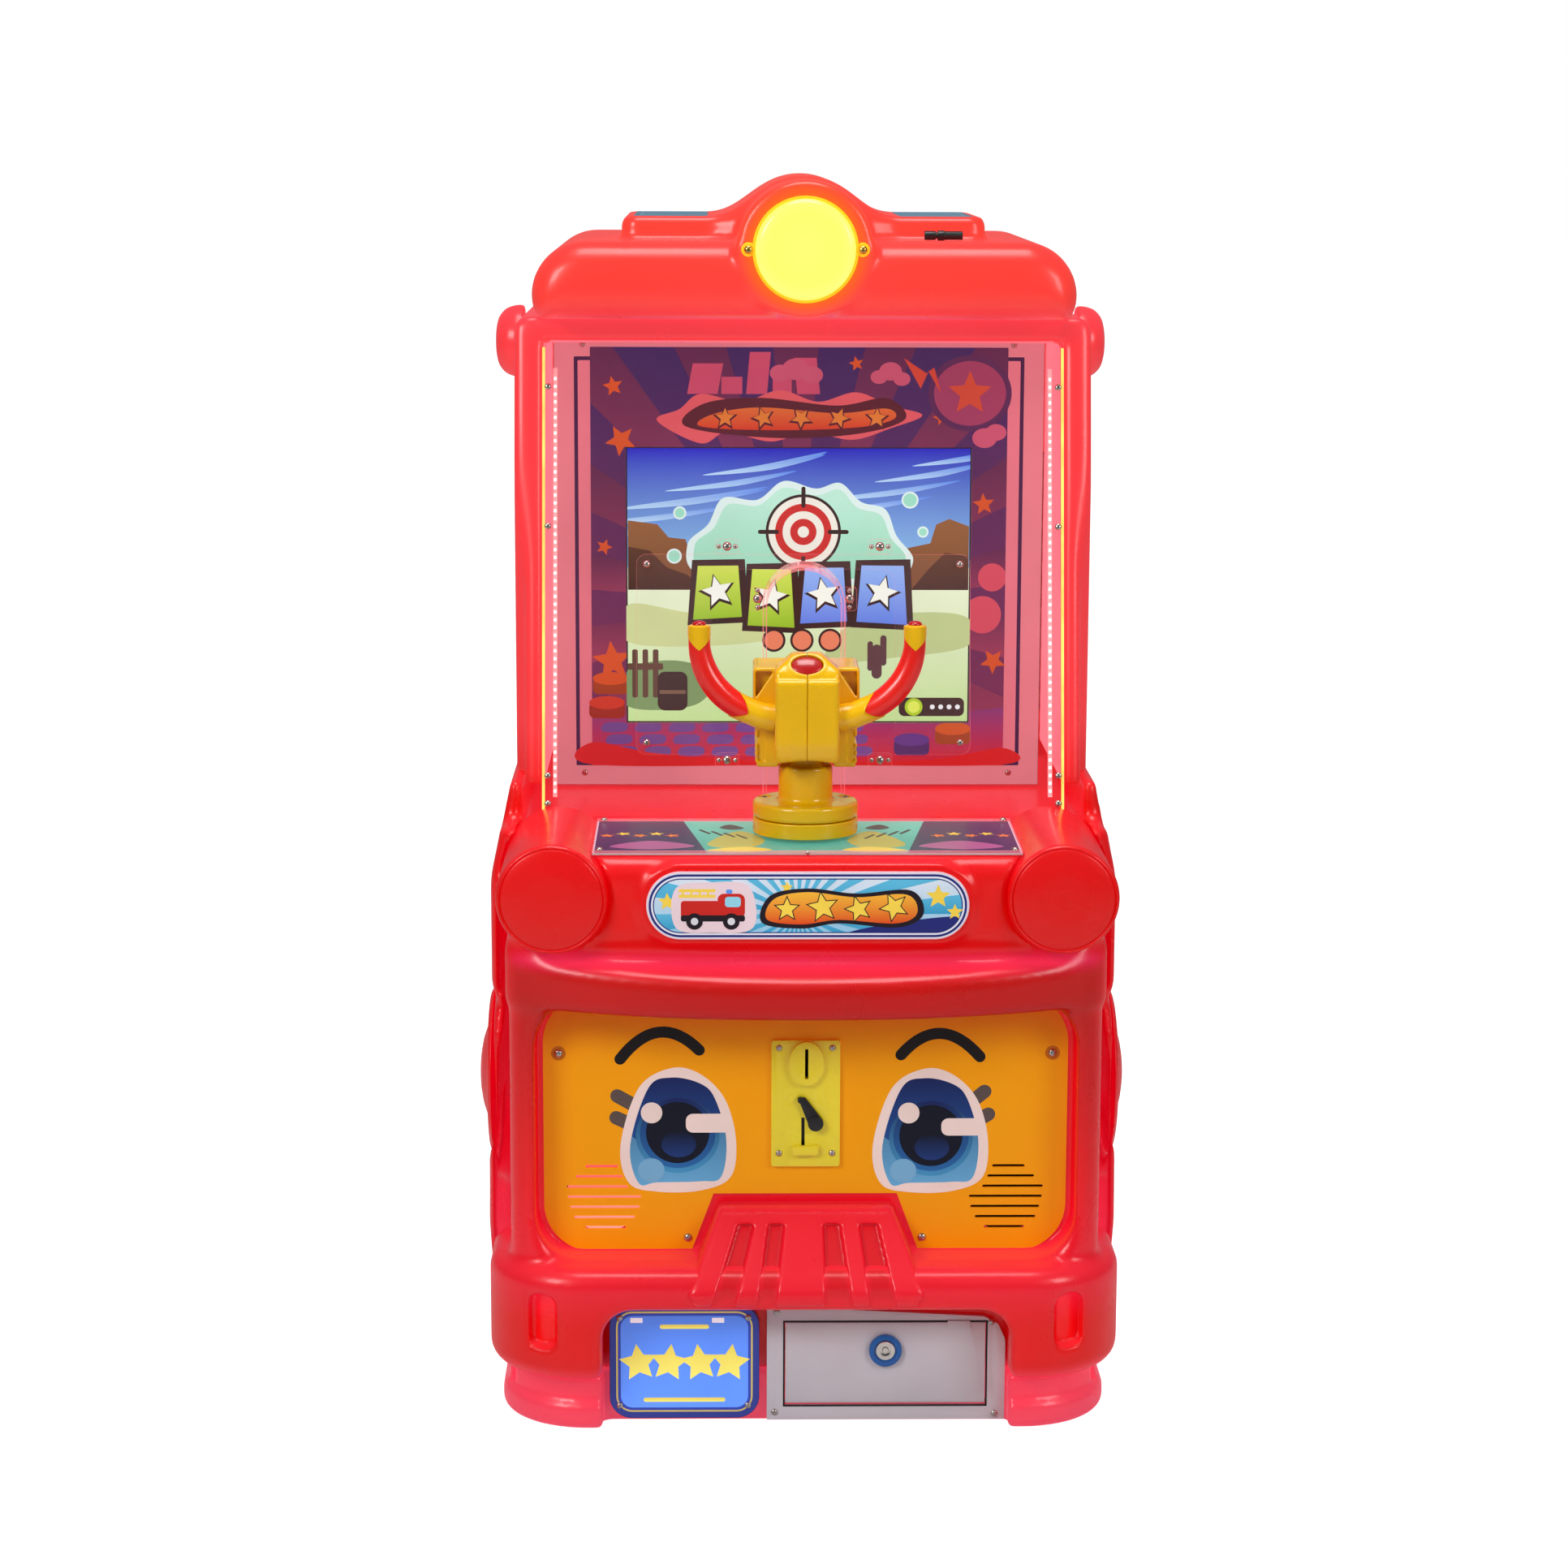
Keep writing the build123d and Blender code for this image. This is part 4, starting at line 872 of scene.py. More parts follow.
def hood():
    """Display hood: leaning front, narrower pillars, and a room in front of and behind the art board.

    The grid leans with the window, so g.y is measured from the window's plane moved to WINDOW_Y.
    """
    g = Grid((-295.6, -158.4, RIM_Z - 12), (295.6, 312, HOOD_TOP + 6), 4.4)
    y = g.y + (g.z - WINDOW_Z) * WINDOW_SLOPE
    half = curve(y, [(-200, PILLAR_HALF), (-96, PILLAR_HALF), (-80, HOOD_HALF), (300, HOOD_HALF)], 4)
    outer = both(np.abs(g.x) - half, WINDOW_Y + 1 - g.y, 10)
    outer = both(outer, y - HOOD_BACK, 22)
    outer = both(outer, rect(g.x, g.z, -HOOD_HALF, HOOD_HALF, 0, HOOD_TOP, 16), 3)
    outer = both(outer, RIM_Z - 6 - g.z)
    rebate = both(np.abs(g.x) - WINDOW_HALF - 1.2, g.y - WINDOW_Y - 5.2)
    outer = cut(outer, both(rebate, g.z - 1051), 1)
    art_back = ART_Y + 4
    rear_half, rear_y = HOOD_HALF - HOOD_WALL, HOOD_BACK - HOOD_WALL
    front_room = prism(rect(g.x, g.z, -259, 259, 300, 1047, 5), y, -FAR, art_back)
    rear_room = prism(rect(g.x, g.z, -rear_half, rear_half, 300, 1050, 5), y, art_back, rear_y)
    rear_room = both(rear_room, rect(g.x, y, -rear_half, rear_half, -FAR, rear_y, 24))
    shell = cut(outer, join(front_room, rear_room, 1), 2)
    item = skinned("hood_moulding", g, shell)
    for vert in item.data.vertices:
        vert.co.y += (vert.co.z - WINDOW_Z * MM) * WINDOW_SLOPE
    place(item, "cabinet", "upper_shell", RED)
    # Painted light of the pillar strips: a pink tint on the inner walls of the room in front of the art board
    item.data.materials.append(lit_red("hood_lining_painted_strip_light", 0.9, linear(250, 122, 138)))
    for face in item.data.polygons:
        c = face.center / MM
        in_front_room = abs(c.x) < 260 and window_y(c.z) + 6 < c.y < art_back - 1
        if in_front_room and abs(face.normal.y) < 0.7:
            face.material_index = 1


def roof():
    """Roof pillow with the sign block and the lamp's arch."""
    g = Grid((-278, -142, HOOD_TOP - 5), (278, 306, ROOF_HIGH.z + 5), 4.0)
    half = curve(g.z, [(HOOD_TOP, 262), (HOOD_TOP + 12, 269), (HOOD_TOP + 25, ROOF_HALF), (1200, 266)], 4)
    flat = rect(np.abs(g.x) - half, g.z, -FAR, 0, HOOD_TOP, ROOF_TOP, 1)
    corner_x, corner_z = ROOF_HALF - ROOF_ROUND, ROOF_TOP - ROOF_ROUND
    corner = (np.abs(g.x) > corner_x) & (g.z > corner_z)
    flat = np.where(corner, disc(np.abs(g.x), g.z, corner_x, corner_z, ROOF_ROUND), flat)
    pillow = both(both(flat, ROOF_LOW.y + 2 - g.y, 34), g.y - HOOD_BACK, 30)
    sign = prism(rect(g.x, g.y, -SIGN_HALF, SIGN_HALF, SIGN_FRONT, SIGN_BACK, 16), g.z, 1100, SIGN_TOP, 8)
    arch = prism(disc(g.x, g.z, 0, LAMP_Z, ARCH_R), g.y, SIGN_FRONT, SIGN_BACK, 6)
    shell = join(pillow, join(sign, arch, 34), 8)
    boss = prism(disc(g.x, g.z, 0, LAMP_Z, ARCH_R - 3), g.y, LAMP_FACE_Y, 0, 6)
    shell = join(shell, boss, 7)
    for x in (-LAMP_EAR_X, LAMP_EAR_X):
        shell = join(shell, prism(disc(g.x, g.z, x, LAMP_Z, 12), g.y, LAMP_FACE_Y, -90, 4), 6)
    shell = cut(shell, prism(disc(g.x, g.z, 0, LAMP_Z, 49), g.y, -200, -95))
    hollow = prism(rect(g.x, g.z, -240, 240, HOOD_TOP + 8, 1140, 30), g.y, -88, HOOD_BACK - 12)
    shell = cut(shell, hollow)
    shell = both(shell, g.z - ROOF_HIGH.z)
    item = skinned("roof_moulding", g, shell)
    return place(item, "cabinet", "roof_cap", RED)


def side_domes():
    """Wheel hubs and the hood's ears, turned shapes mirrored from right to left."""
    hub_profile = [(0, 15.8), (18, 15.0), (34, 12.2), (48, 7.4), (58, 3.0), (62, 1.6), (65, 1.8), (68, 4.2),
                   (73, 5.2), (80, 4.6), (HUB_R, 1.2), (HUB_R, 0.2), (0, 0.2)]
    hub = lathe("wheel_cover_right", rounded_profile(hub_profile, 5), (SIDE_HALF, HUB_Y, HUB_Z), "X", 128)
    ear_profile = [(0, 24), (14, 23.6), (26, 20.5), (34, 13), (37, 3), (37, -6), (0, -6)]
    ear_z = (EAR_LOW.z + EAR_HIGH.z) / 2
    ear = lathe("hood_ear_right", rounded_profile(ear_profile, 8), (HOOD_HALF, 60, ear_z), "X")
    for item, node in ((hub, "wheel_hub"), (ear, "side_ear")):
        twin = mirrored_copy(item, item.name.replace("right", "left"))
        place(item, "cabinet", node + "_right", RED)
        place(twin, "cabinet", node + "_left", RED)


def drums():
    """Headlight drums with a slightly domed face and a thin groove near the rim."""
    depth = DRUM_HIGH.y - DRUM_LOW.y
    profile = [(0, depth), (26, depth - 0.8), (42, depth - 2.8), (48.3, depth - 4.4), (49.3, depth - 6.6),
               (50.2, depth - 3.8), (52.4, depth - 5.5), (DRUM_R, depth - 10), (DRUM_R, 0), (DRUM_R - 6, 0),
               (DRUM_R - 6, depth - 14), (0, depth - 12)]
    right = lathe("headlight_drum_right", rounded_profile(profile, 2.4), (DRUM_X, DRUM_HIGH.y, DRUM_Z), "Y",
                  160)
    left = mirrored_copy(right, "headlight_drum_left")
    for item, node in ((right, "headlight_right"), (left, "headlight_left")):
        place(item, "cabinet", node, DRUM_RED)


# --- Gun

def base_ring():
    """Fixed ring with a turned lip, standing on the deck cover."""
    low, high = RING_LOW.z, RING_HIGH.z
    profile = [(0, low), (RING_HIGH.x, low), (RING_HIGH.x, high), (12, high), (0, high)]
    item = lathe("gun_foot_ring", rounded_profile(profile, 1.6), (0, GUN_Y, 0), segments=128)
    return place(item, "cabinet", "gun_base_ring", YELLOW)


def turntable():
    """Turning ring with two screw recesses, the post, and the head that the tilt shaft runs through."""
    seam, ring_top, post_top = RING_HIGH.z + 0.5, RING_HIGH.z + 16.4, 648
    g = Grid((-56, GUN_Y - 56, seam - 4), (56, GUN_Y + 56, YOKE_HIGH.z + 3), 1.25)
    ring = prism(disc(g.x, g.y, 0, GUN_Y, RING_HIGH.x), g.z, seam, ring_top, 3.5)
    post = prism(disc(g.x, g.y, 0, GUN_Y, 26.5), g.z, ring_top - 4, post_top, 3)
    neck = prism(disc(g.x, g.y, 0, GUN_Y, 18), g.z, post_top - 9, 684, 1)
    head = prism(rect(g.x, g.y, -16.5, 16.5, GUN_Y - 13.5, GUN_Y + 13.5, 3), g.z, 676, YOKE_HIGH.z, 3)
    shape = join(join(ring, post, 5), join(neck, head, 2), 4)
    shaft_low, shaft_high = corners("gun_tilt_shaft")
    shape = cut(shape, disc(g.y, g.z, GUN_Y, (shaft_low.z + shaft_high.z) / 2, 5.3))
    recess = prism(disc(np.abs(g.x), g.y, 40, GUN_Y + 17, 6), g.z, ring_top - 3, ring_top + 9)
    shape = cut(shape, recess, 1)
    item = skinned("gun_turning_post", g, shape, 1)
    return place(item, "gun_yoke", "gun_turntable", YELLOW)


def gun_casing():
    """Outer casing with a pocket each side of the rear cover, a ledge and ribbed lower edges."""
    low, high = HOUSING_LOW, HOUSING_HIGH
    g = Grid((low.x - 4, low.y - 4, low.z - 4), (high.x + 4, high.y + 4, high.z + 4), 1.15)
    side = np.abs(g.x)
    half = curve(g.z, [(640, high.x - 2), (690, high.x - 2), (692, high.x), (760, high.x)], 1.5)
    body = prism(rect(side - half, g.z, -200, 0, low.z + 6, high.z, 4), g.y, low.y, high.y, 3)
    room = prism(rect(side, g.z, -60, 44, 600, 739, 3), g.y, -235, -187)
    mouth = prism(rect(side, g.z, -60, 27, 600, 733, 1), g.y, -270, -230)
    pocket = prism(polygon(side, g.z, [(34, 716), (48, 716), (48, 742), (34, 742)]) - 1, g.y, -270, -240, 1)
    wedge = both((g.z - 716) - (50 - side) * 1.5, g.y + 246, 1)
    body = cut(body, room, 1)
    body = cut(body, mouth, 1)
    body = cut(body, cut(pocket, wedge, 1), 1.5)
    panel = prism(rect(side, g.z, 40, 47, 655, 686, 1.5), g.y, -270, -247)
    body = cut(body, panel, 1.2)
    step = prism(rect(side, g.z, 47.5, 70, 672, 679, 1), g.y, -270, -200)
    body = cut(body, step, 1.2)
    for z in (652, 659, 666):
        body = cut(body, prism(rect(side, g.z, 48, 60, z - 1.4, z + 1.4, 0.6), g.y, -270, -215), 1)
    item = skinned("gun_casing", g, body, 1)
    return place(item, "gun_head", "gun_housing", YELLOW)


# Middle of the thumb button's seat, and the angle from vertical that it leans back by
THUMB_CENTRE = (-0.5, -275.0, 752.5)
THUMB_LEAN = radians(41)


def thumb_axes(g):
    """Across, up and outward on the thumb button's sloping seat."""
    dy, dz = g.y - THUMB_CENTRE[1], g.z - THUMB_CENTRE[2]
    up = dy * sin(THUMB_LEAN) + dz * cos(THUMB_LEAN)
    out = dz * sin(THUMB_LEAN) - dy * cos(THUMB_LEAN)
    return g.x - THUMB_CENTRE[0], up, out


def rear_cover():
    """Cover in two halves with a fine seam, a domed top and the button's raised seat."""
    low, high = COVER_LOW, COVER_HIGH
    g = Grid((-1.6, low.y - 4, low.z - 4), (high.x + 4, high.y + 3, high.z + 4), 0.95)
    face = curve(g.z, [(650, low.y + 13), (664, low.y + 3), (676, low.y), (745, low.y)], 4)
    trunk = both(face - g.y, rect(g.x, g.z, -high.x, high.x, low.z, 740.5, 3), 6)
    trunk = both(trunk, g.y - high.y, 1)
    arch = disc(g.x, g.z, 0, low.z - 86, 90)
    trunk = cut(trunk, arch + 0 * g.y, 3)
    dome = polygon(g.x, g.z, [(-26, 735), (26, 735), (26, 746), (12, 758), (-12, 758), (-26, 746)]) - 5
    slope = (g.z - 744) * 0.83 - (g.y - low.y - 5)
    dome = both(dome, both(slope * 0.77, low.y + 5 - g.y, 4), 5)
    dome = both(dome, g.y - high.y, 1)
    cover = join(trunk, dome, 2)
    across, up, out = thumb_axes(g)
    rim = prism(oval(across, up, 0, 0, 19, 14), out, -9, 1.6, 1.4)
    cover = join(cover, both(rim, both(g.z - high.z - 0.5, g.y - high.y)), 3)
    cover = cut(cover, prism(oval(across, up, 0, 0, 15.9, 10.8), out, -5.5, 40), 0.8)
    room = prism(rect(g.x, g.z, -27, 27, 600, 731, 4), g.y, low.y + 5, 0)
    cover = cut(cover, both(room, face + 4 - g.y))
    cover = both(cover, 0.28 - g.x)
    right = skinned("gun_cover", g, cover, 1)
    shape = bmesh.new()
    shape.from_mesh(right.data)
    shape.from_mesh(mirrored_mesh(right.data))
    shape.to_mesh(right.data)
    shape.free()
    return place(right, "gun_head", "gun_rear_cover", YELLOW)


def thumb_button():
    """Oval crowned button in the rear cover's seat."""
    low, high = corners("gun_button")
    g = Grid((low.x - 2, low.y - 2, low.z - 2), (high.x + 2, high.y + 2, high.z + 2), 0.6)
    across, up, out = thumb_axes(g)
    crown = 3.4 - 2.6 * ((across / 15.6) ** 2 + (up / 10.5) ** 2)
    button = both(oval(across, up, 0, 0, 15.4, 10.3), out - crown, 1.6)
    item = skinned("thumb_button", g, both(button, -2.4 - out), 1)
    return place(item, "gun_button", "gun_button", RED_BUTTON)


# Upright end of the right horn, then the radius and middle of its bend
HORN_X = HORN_HIGH.x - HORN_R
HORN_BEND = 73.0
HORN_CENTRE = (HORN_X - HORN_BEND, 776.0)


def horn_arc(first, last, count):
    """Points on the right horn's centre line between two angles below its upright end."""
    turns = [radians(first + (last - first) * i / (count - 1)) for i in range(count)]
    return [(HORN_CENTRE[0] + HORN_BEND * cos(t), HORN_CENTRE[1] + HORN_BEND * sin(t)) for t in turns]


def swept(name, line, radius, around=64, edge=None):
    """Tube along (x, z) points at the horns' depth.

    Radius is a function of the share of its length, and edge moves the last ring at each angle.
    """
    points, faces = [], []
    count = len(line)
    for i, (x, z) in enumerate(line):
        ax, az = line[max(i - 1, 0)]
        bx, bz = line[min(i + 1, count - 1)]
        length = hypot(bx - ax, bz - az)
        tx, tz = (bx - ax) / length, (bz - az) / length
        r = radius(i / (count - 1))
        for k in range(around):
            turn = 2 * pi * k / around
            out, deep = r * cos(turn), r * sin(turn)
            slide = edge(turn) * (i / (count - 1)) ** 2 if edge else 0.0
            point = Vector((x + tz * out + tx * slide, HORN_Y + deep, z - tx * out + tz * slide))
            points.append(tuple(point * MM))
    for i in range(count - 1):
        for k in range(around):
            j = (k + 1) % around
            faces.append((i * around + k, i * around + j, (i + 1) * around + j, (i + 1) * around + k))
    faces.append(tuple(range(around)))
    faces.append(tuple(range((count - 1) * around, count * around)))
    item = mesh_object(name, points, faces)
    mend_normals(item, 50)
    return item


def handles():
    """Horns, their sockets and caps with pointed ends, and the tip buttons, on both sides."""
    horn = swept("grip_right", horn_arc(-74, -4, 30) + [(HORN_X, 781)],
                 lambda t: curve(t, [(0, 11.6), (0.35, 12.6), (0.7, 11.6), (1, 10.3)], 0.1))
    root = [(30.5, 700.5), (38, 701.6), (46, 703.2)] + horn_arc(-71.5, -63, 8)
    socket = swept("socket_right", root, lambda t: 13.0 - 0.5 * t + 0.4 * t ** 6,
                   edge=lambda turn: 17.0 * abs(cos(turn)) ** 1.5 - 10)
    cap_top = corners("handle_caps")[1].z
    upright = [(HORN_X, z) for z in np.linspace(cap_top - 1.2, 780, 10)]
    cap = swept("cap_right", [(HORN_X, cap_top)] + upright, lambda t: min(8.0 + 34 * t, 10.95),
                edge=lambda turn: 15.0 * (1 - abs(2 * (turn % pi) / pi - 1)) - 2)
    low, high = corners("grip_button_right")
    profile = [(0, high.z), (4, high.z - 0.5), (6.6, high.z - 2.2), (6.7, low.z), (0, low.z)]
    tip = lathe("tip_button_right", rounded_profile(profile, 1.5), (HORN_X, HORN_Y, 0), segments=48)
    for item, node, finish, slot in ((horn, "gun_handle_{}", RED_HORN, "red_plastic"),
                                     (socket, "handle_sockets", YELLOW, "yellow_plastic"),
                                     (cap, "handle_caps", YELLOW, "yellow_plastic"),
                                     (tip, "grip_button_{}", RED_BUTTON, "red_plastic")):
        twin = mirrored_copy(item, item.name.replace("right", "left"))
        for each, side in ((item, "right"), (twin, "left")):
            body = "grip_button_" + side if item is tip else "gun_head"
            place(each, body, node.format(side), finish)


# --- Printed sheets

def ellipse(cx, cy, rx, ry, count=48):
    """Upright ellipse; every outline here runs anticlockwise."""
    turns = [2 * pi * i / count for i in range(count)]
    return [(cx + rx * cos(turn), cy + ry * sin(turn)) for turn in turns]


def plate(x0, x1, z0, z1, r, steps=8):
    """Rectangle with rounded corners."""
    points = []
    for cx, cz, start in ((x1 - r, z1 - r, 0), (x0 + r, z1 - r, 1), (x0 + r, z0 + r, 2), (x1 - r, z0 + r, 3)):
        for i in range(steps + 1):
            turn = pi / 2 * (start + i / steps)
            points.append((cx + r * cos(turn), cz + r * sin(turn)))
    return points


def star(cx, cy, size, tips=5, waist=0.45, turn=0.0):
    """Star with its first tip up, then turned."""
    points = []
    for i in range(2 * tips):
        r = size if i % 2 == 0 else size * waist
        angle = pi / 2 + turn + pi * i / tips
        points.append((cx + r * cos(angle), cy + r * sin(angle)))
    return points


def capsule(ax, ay, bx, by, r, steps=8):
    """Bar with round ends."""
    heading = atan2(by - ay, bx - ax)
    points = []
    for cx, cy, start in ((bx, by, heading - pi / 2), (ax, ay, heading + pi / 2)):
        for i in range(steps + 1):
            turn = start + pi * i / steps
            points.append((cx + r * cos(turn), cy + r * sin(turn)))
    return points


def flowing(anchors, per_side=8):
    """Closed smooth outline through the anchor points."""
    points = []
    count = len(anchors)
    for i in range(count):
        a, b, c, d = (Vector(anchors[(i + k) % count]) for k in (-1, 0, 1, 2))
        for step in range(per_side):
            t = step / per_side
            bend, twist = 2 * a - 5 * b + 4 * c - d, 3 * b - a - 3 * c + d
            points.append(tuple(0.5 * ((2 * b) + (c - a) * t + bend * t * t + twist * t ** 3)))
    return points


def bowed(ends, middle, half):
    """Band of even width that follows an arc through two ends and a middle point."""
    (ax, ay), (bx, by) = ends
    pull_x, pull_y = 2 * middle[0] - (ax + bx) / 2, 2 * middle[1] - (ay + by) / 2
    steps, turns = 16, 8
    line = []
    for i in range(steps + 1):
        t = i / steps
        line.append(((1 - t) ** 2 * ax + 2 * t * (1 - t) * pull_x + t * t * bx,
                     (1 - t) ** 2 * ay + 2 * t * (1 - t) * pull_y + t * t * by))
    upper, lower = [], []
    for i, (x, y) in enumerate(line):
        px, py = line[max(i - 1, 0)]
        qx, qy = line[min(i + 1, steps)]
        length = hypot(qx - px, qy - py)
        nx, ny = -(qy - py) / length, (qx - px) / length
        upper.append((x + nx * half, y + ny * half))
        lower.append((x - nx * half, y - ny * half))

    def round_end(x, y, rim):
        start = atan2(rim[1] - y, rim[0] - x)
        angles = [start - pi * k / turns for k in range(1, turns)]
        return [(x + half * cos(angle), y + half * sin(angle)) for angle in angles]

    return upper + round_end(bx, by, upper[-1]) + lower[::-1] + round_end(ax, ay, lower[0])


def trimmed(outline, window):
    """Part of an outline that lies inside a convex window, both running anticlockwise."""
    kept = list(outline)
    for (ax, ay), (bx, by) in zip(window, window[1:] + window[:1]):
        source, kept = kept, []
        for (px, py), (qx, qy) in zip(source, source[1:] + source[:1]):
            p_in = (bx - ax) * (py - ay) - (by - ay) * (px - ax)
            q_in = (bx - ax) * (qy - ay) - (by - ay) * (qx - ax)
            if p_in >= 0:
                kept.append((px, py))
            if (p_in > 0) != (q_in > 0) and p_in != q_in:
                t = p_in / (p_in - q_in)
                kept.append((px + (qx - px) * t, py + (qy - py) * t))
        if len(kept) < 3:
            return []
    return kept


def rays(cx, cy, reach, count, window, share=0.5, turn=0.0):
    """Sunburst wedges round a point, trimmed to a window."""
    result = []
    for i in range(count):
        a = turn + 2 * pi * i / count
        b = a + 2 * pi * share / count
        rim = [(cx + reach * cos(angle), cy + reach * sin(angle)) for angle in (a, b)]
        result.append(trimmed([(cx, cy)] + rim, window))
    return result


# Thickness of one layer of ink
INK_T = 0.07


def extent(outline):
    """Least and greatest u, then least and greatest v."""
    across, along = zip(*outline)
    return min(across), max(across), min(along), max(along)


def meets(a, b):
    """Whether two extents overlap."""
    return a[0] < b[1] and b[0] < a[1] and a[2] < b[3] and b[2] < a[3]


def split_round(outline, hole):
    """Parts of an outline left of, right of, below and above a rectangular hole."""
    u0, u1, v0, v1 = hole
    far = 2000
    sides = [(-far, u0, -far, far), (u1, far, -far, far), (u0, u1, -far, v0), (u0, u1, v1, far)]
    return [trimmed(outline, [(a, c), (b, c), (b, d), (a, d)]) for a, b, c, d in sides]


def sheet(name, layers, to_point, out, finish, slot, hole=None):
    """Printed film: each layer is a thin closed plate over those it covers, with its ink at its corners."""
    shape = bmesh.new()
    ink = shape.verts.layers.float_color.new("ink")
    out = Vector(out)
    laid = []
    for outline, tone in layers:
        if len(outline) < 3:
            continue
        low_tone, high_tone = tone if isinstance(tone[0], tuple) else (tone, tone)
        area = extent(outline)
        bottom, span = area[2], max(area[3] - area[2], 1e-6)
        level = 1 + max((under for other, under in laid if meets(area, other)), default=0)
        laid.append((area, level))
        parts = split_round(outline, hole) if hole and meets(area, hole) else [outline]
        for part in parts:
            if len(part) < 3:
                continue
            rims = []
            for lift in (level * INK_T, 0.0):
                rim = []
                for u, v in part:
                    vert = shape.verts.new((Vector(to_point(u, v)) + out * lift) * MM)
                    share = (v - bottom) / span
                    vert[ink] = [a + (b - a) * share for a, b in zip(low_tone, high_tone)]
                    rim.append(vert)
                rims.append(rim)
            shape.faces.new(rims[0])
            shape.faces.new(rims[1][::-1])
            count = len(part)
            for i in range(count):
                j = (i + 1) % count
                shape.faces.new((rims[0][j], rims[0][i], rims[1][i], rims[1][j]))
    bmesh.ops.recalc_face_normals(shape, faces=shape.faces)
    bmesh.ops.triangulate(shape, faces=[f for f in shape.faces if len(f.verts) > 4])
    return place(from_bmesh(name, shape), "cabinet", None, finish)


def upright_sheet(name, layers, y, finish, slot, hole=None):
    """Printed film that faces the front at depth y."""
    return sheet(name, layers, lambda x, z: (x, y, z), (0, -1, 0), finish, slot, hole)


# Faint painted glow, set to make up for the shade of the face's recess
PRINT = printed("printed_film_painted_glow", 0.12, 0.35)
LIT_PRINT = printed("backlit_film", 0.3, 0.3, 0.8)
SCREEN_PRINT = printed("lit_screen", 1.0, 0.2, 0.0)
ART_PRINT = printed("art_film", 0.42, 0.3, 0.35)
NAVY = linear(38, 44, 120)
CREAM = linear(244, 222, 214)
GOLD = linear(250, 214, 80)
WHITE = linear(240, 240, 244)


def inset(node_low, node_high, gap, r, steps=8):
    """Rounded outline inside an upright CAD plate, a gap away from its edges."""
    return plate(node_low.x + gap, node_high.x - gap, node_low.z + gap, node_high.z - gap, r, steps)


def eye(side):
    """Egg-shaped eye with a shaded iris, pupil and soft glints."""
    if side < 0:
        cx, cz, pupil, bar_x0, bar_x1, bar_z0, bar_z1 = -125, 294, (-125, 293), -117, -72, 293, 312
        glint = (-150.5, 313)
    else:
        cx, cz, pupil, bar_x0, bar_x1, bar_z0, bar_z1 = 122, 293, (123, 289.5), 133, 174, 289.5, 307
        glint = (101, 312.4)

    def egg(grow):
        return flowing([(cx - 56 - grow, cz - 14), (cx - 48 - grow, cz - 52), (cx - 20, cz - 61 - grow),
                        (cx + 22, cz - 60 - grow), (cx + 52 + grow, cz - 46), (cx + 57 + grow, cz - 8),
                        (cx + 46 + grow, cz + 33), (cx + 22, cz + 58 + grow), (cx - 6, cz + 64 + grow),
                        (cx - 38 - grow, cz + 44)])

    iris = egg(-9.5)
    deep, mid, pale = linear(20, 34, 92), linear(30, 78, 150), linear(104, 176, 222)
    left, right = [(-184, 330, -163, 318), (-185, 308, -168, 300)], [(175, 334, 158, 320),
                                                                     (179, 311, 164, 302)]
    lashes = left if side < 0 else right
    layers = [(capsule(*lash, 6.8), linear(92, 78, 74)) for lash in lashes]
    layers += [(egg(0), CREAM), (iris, (pale, deep)),
               (trimmed(ellipse(cx - 6, cz + 18, 50, 36), iris), (mid, deep)),
               (ellipse(pupil[0], pupil[1] - 3, 41, 38), (linear(70, 150, 200), deep)),
               (ellipse(pupil[0], pupil[1] - 1, 37, 35), (linear(40, 104, 170), deep)),
               (ellipse(*pupil, 31, 31), linear(8, 14, 34)),
               (ellipse(pupil[0] + 1, pupil[1] - 12, 17, 13), (linear(26, 56, 120), linear(8, 14, 34))),
               (ellipse(cx - 26, cz - 39, 13, 12), linear(120, 176, 214)),
               (ellipse(*glint, 10.5, 10.5), linear(236, 216, 208)),
               (plate(bar_x0, bar_x1, bar_z0, bar_z1, 7), CREAM)]
    return layers


def face_print():
    """Eyes, brows and cheek dots of the face panel."""
    dark = linear(22, 16, 18)
    layers = eye(-1) + eye(1)
    layers.append((bowed(((-181, 367), (-104, 376)), (-143, 394), 5.6), dark))
    layers.append((bowed(((93, 371), (170, 369)), (131, 392.5), 5.6), dark))
    layers += [(ellipse(x, 373, 7.2, 7.2, 32), linear(196, 104, 8)) for x in (-241, 241)]
    return upright_sheet("face_print", layers, PANEL_LOW.y, PRINT, "printed_plate")


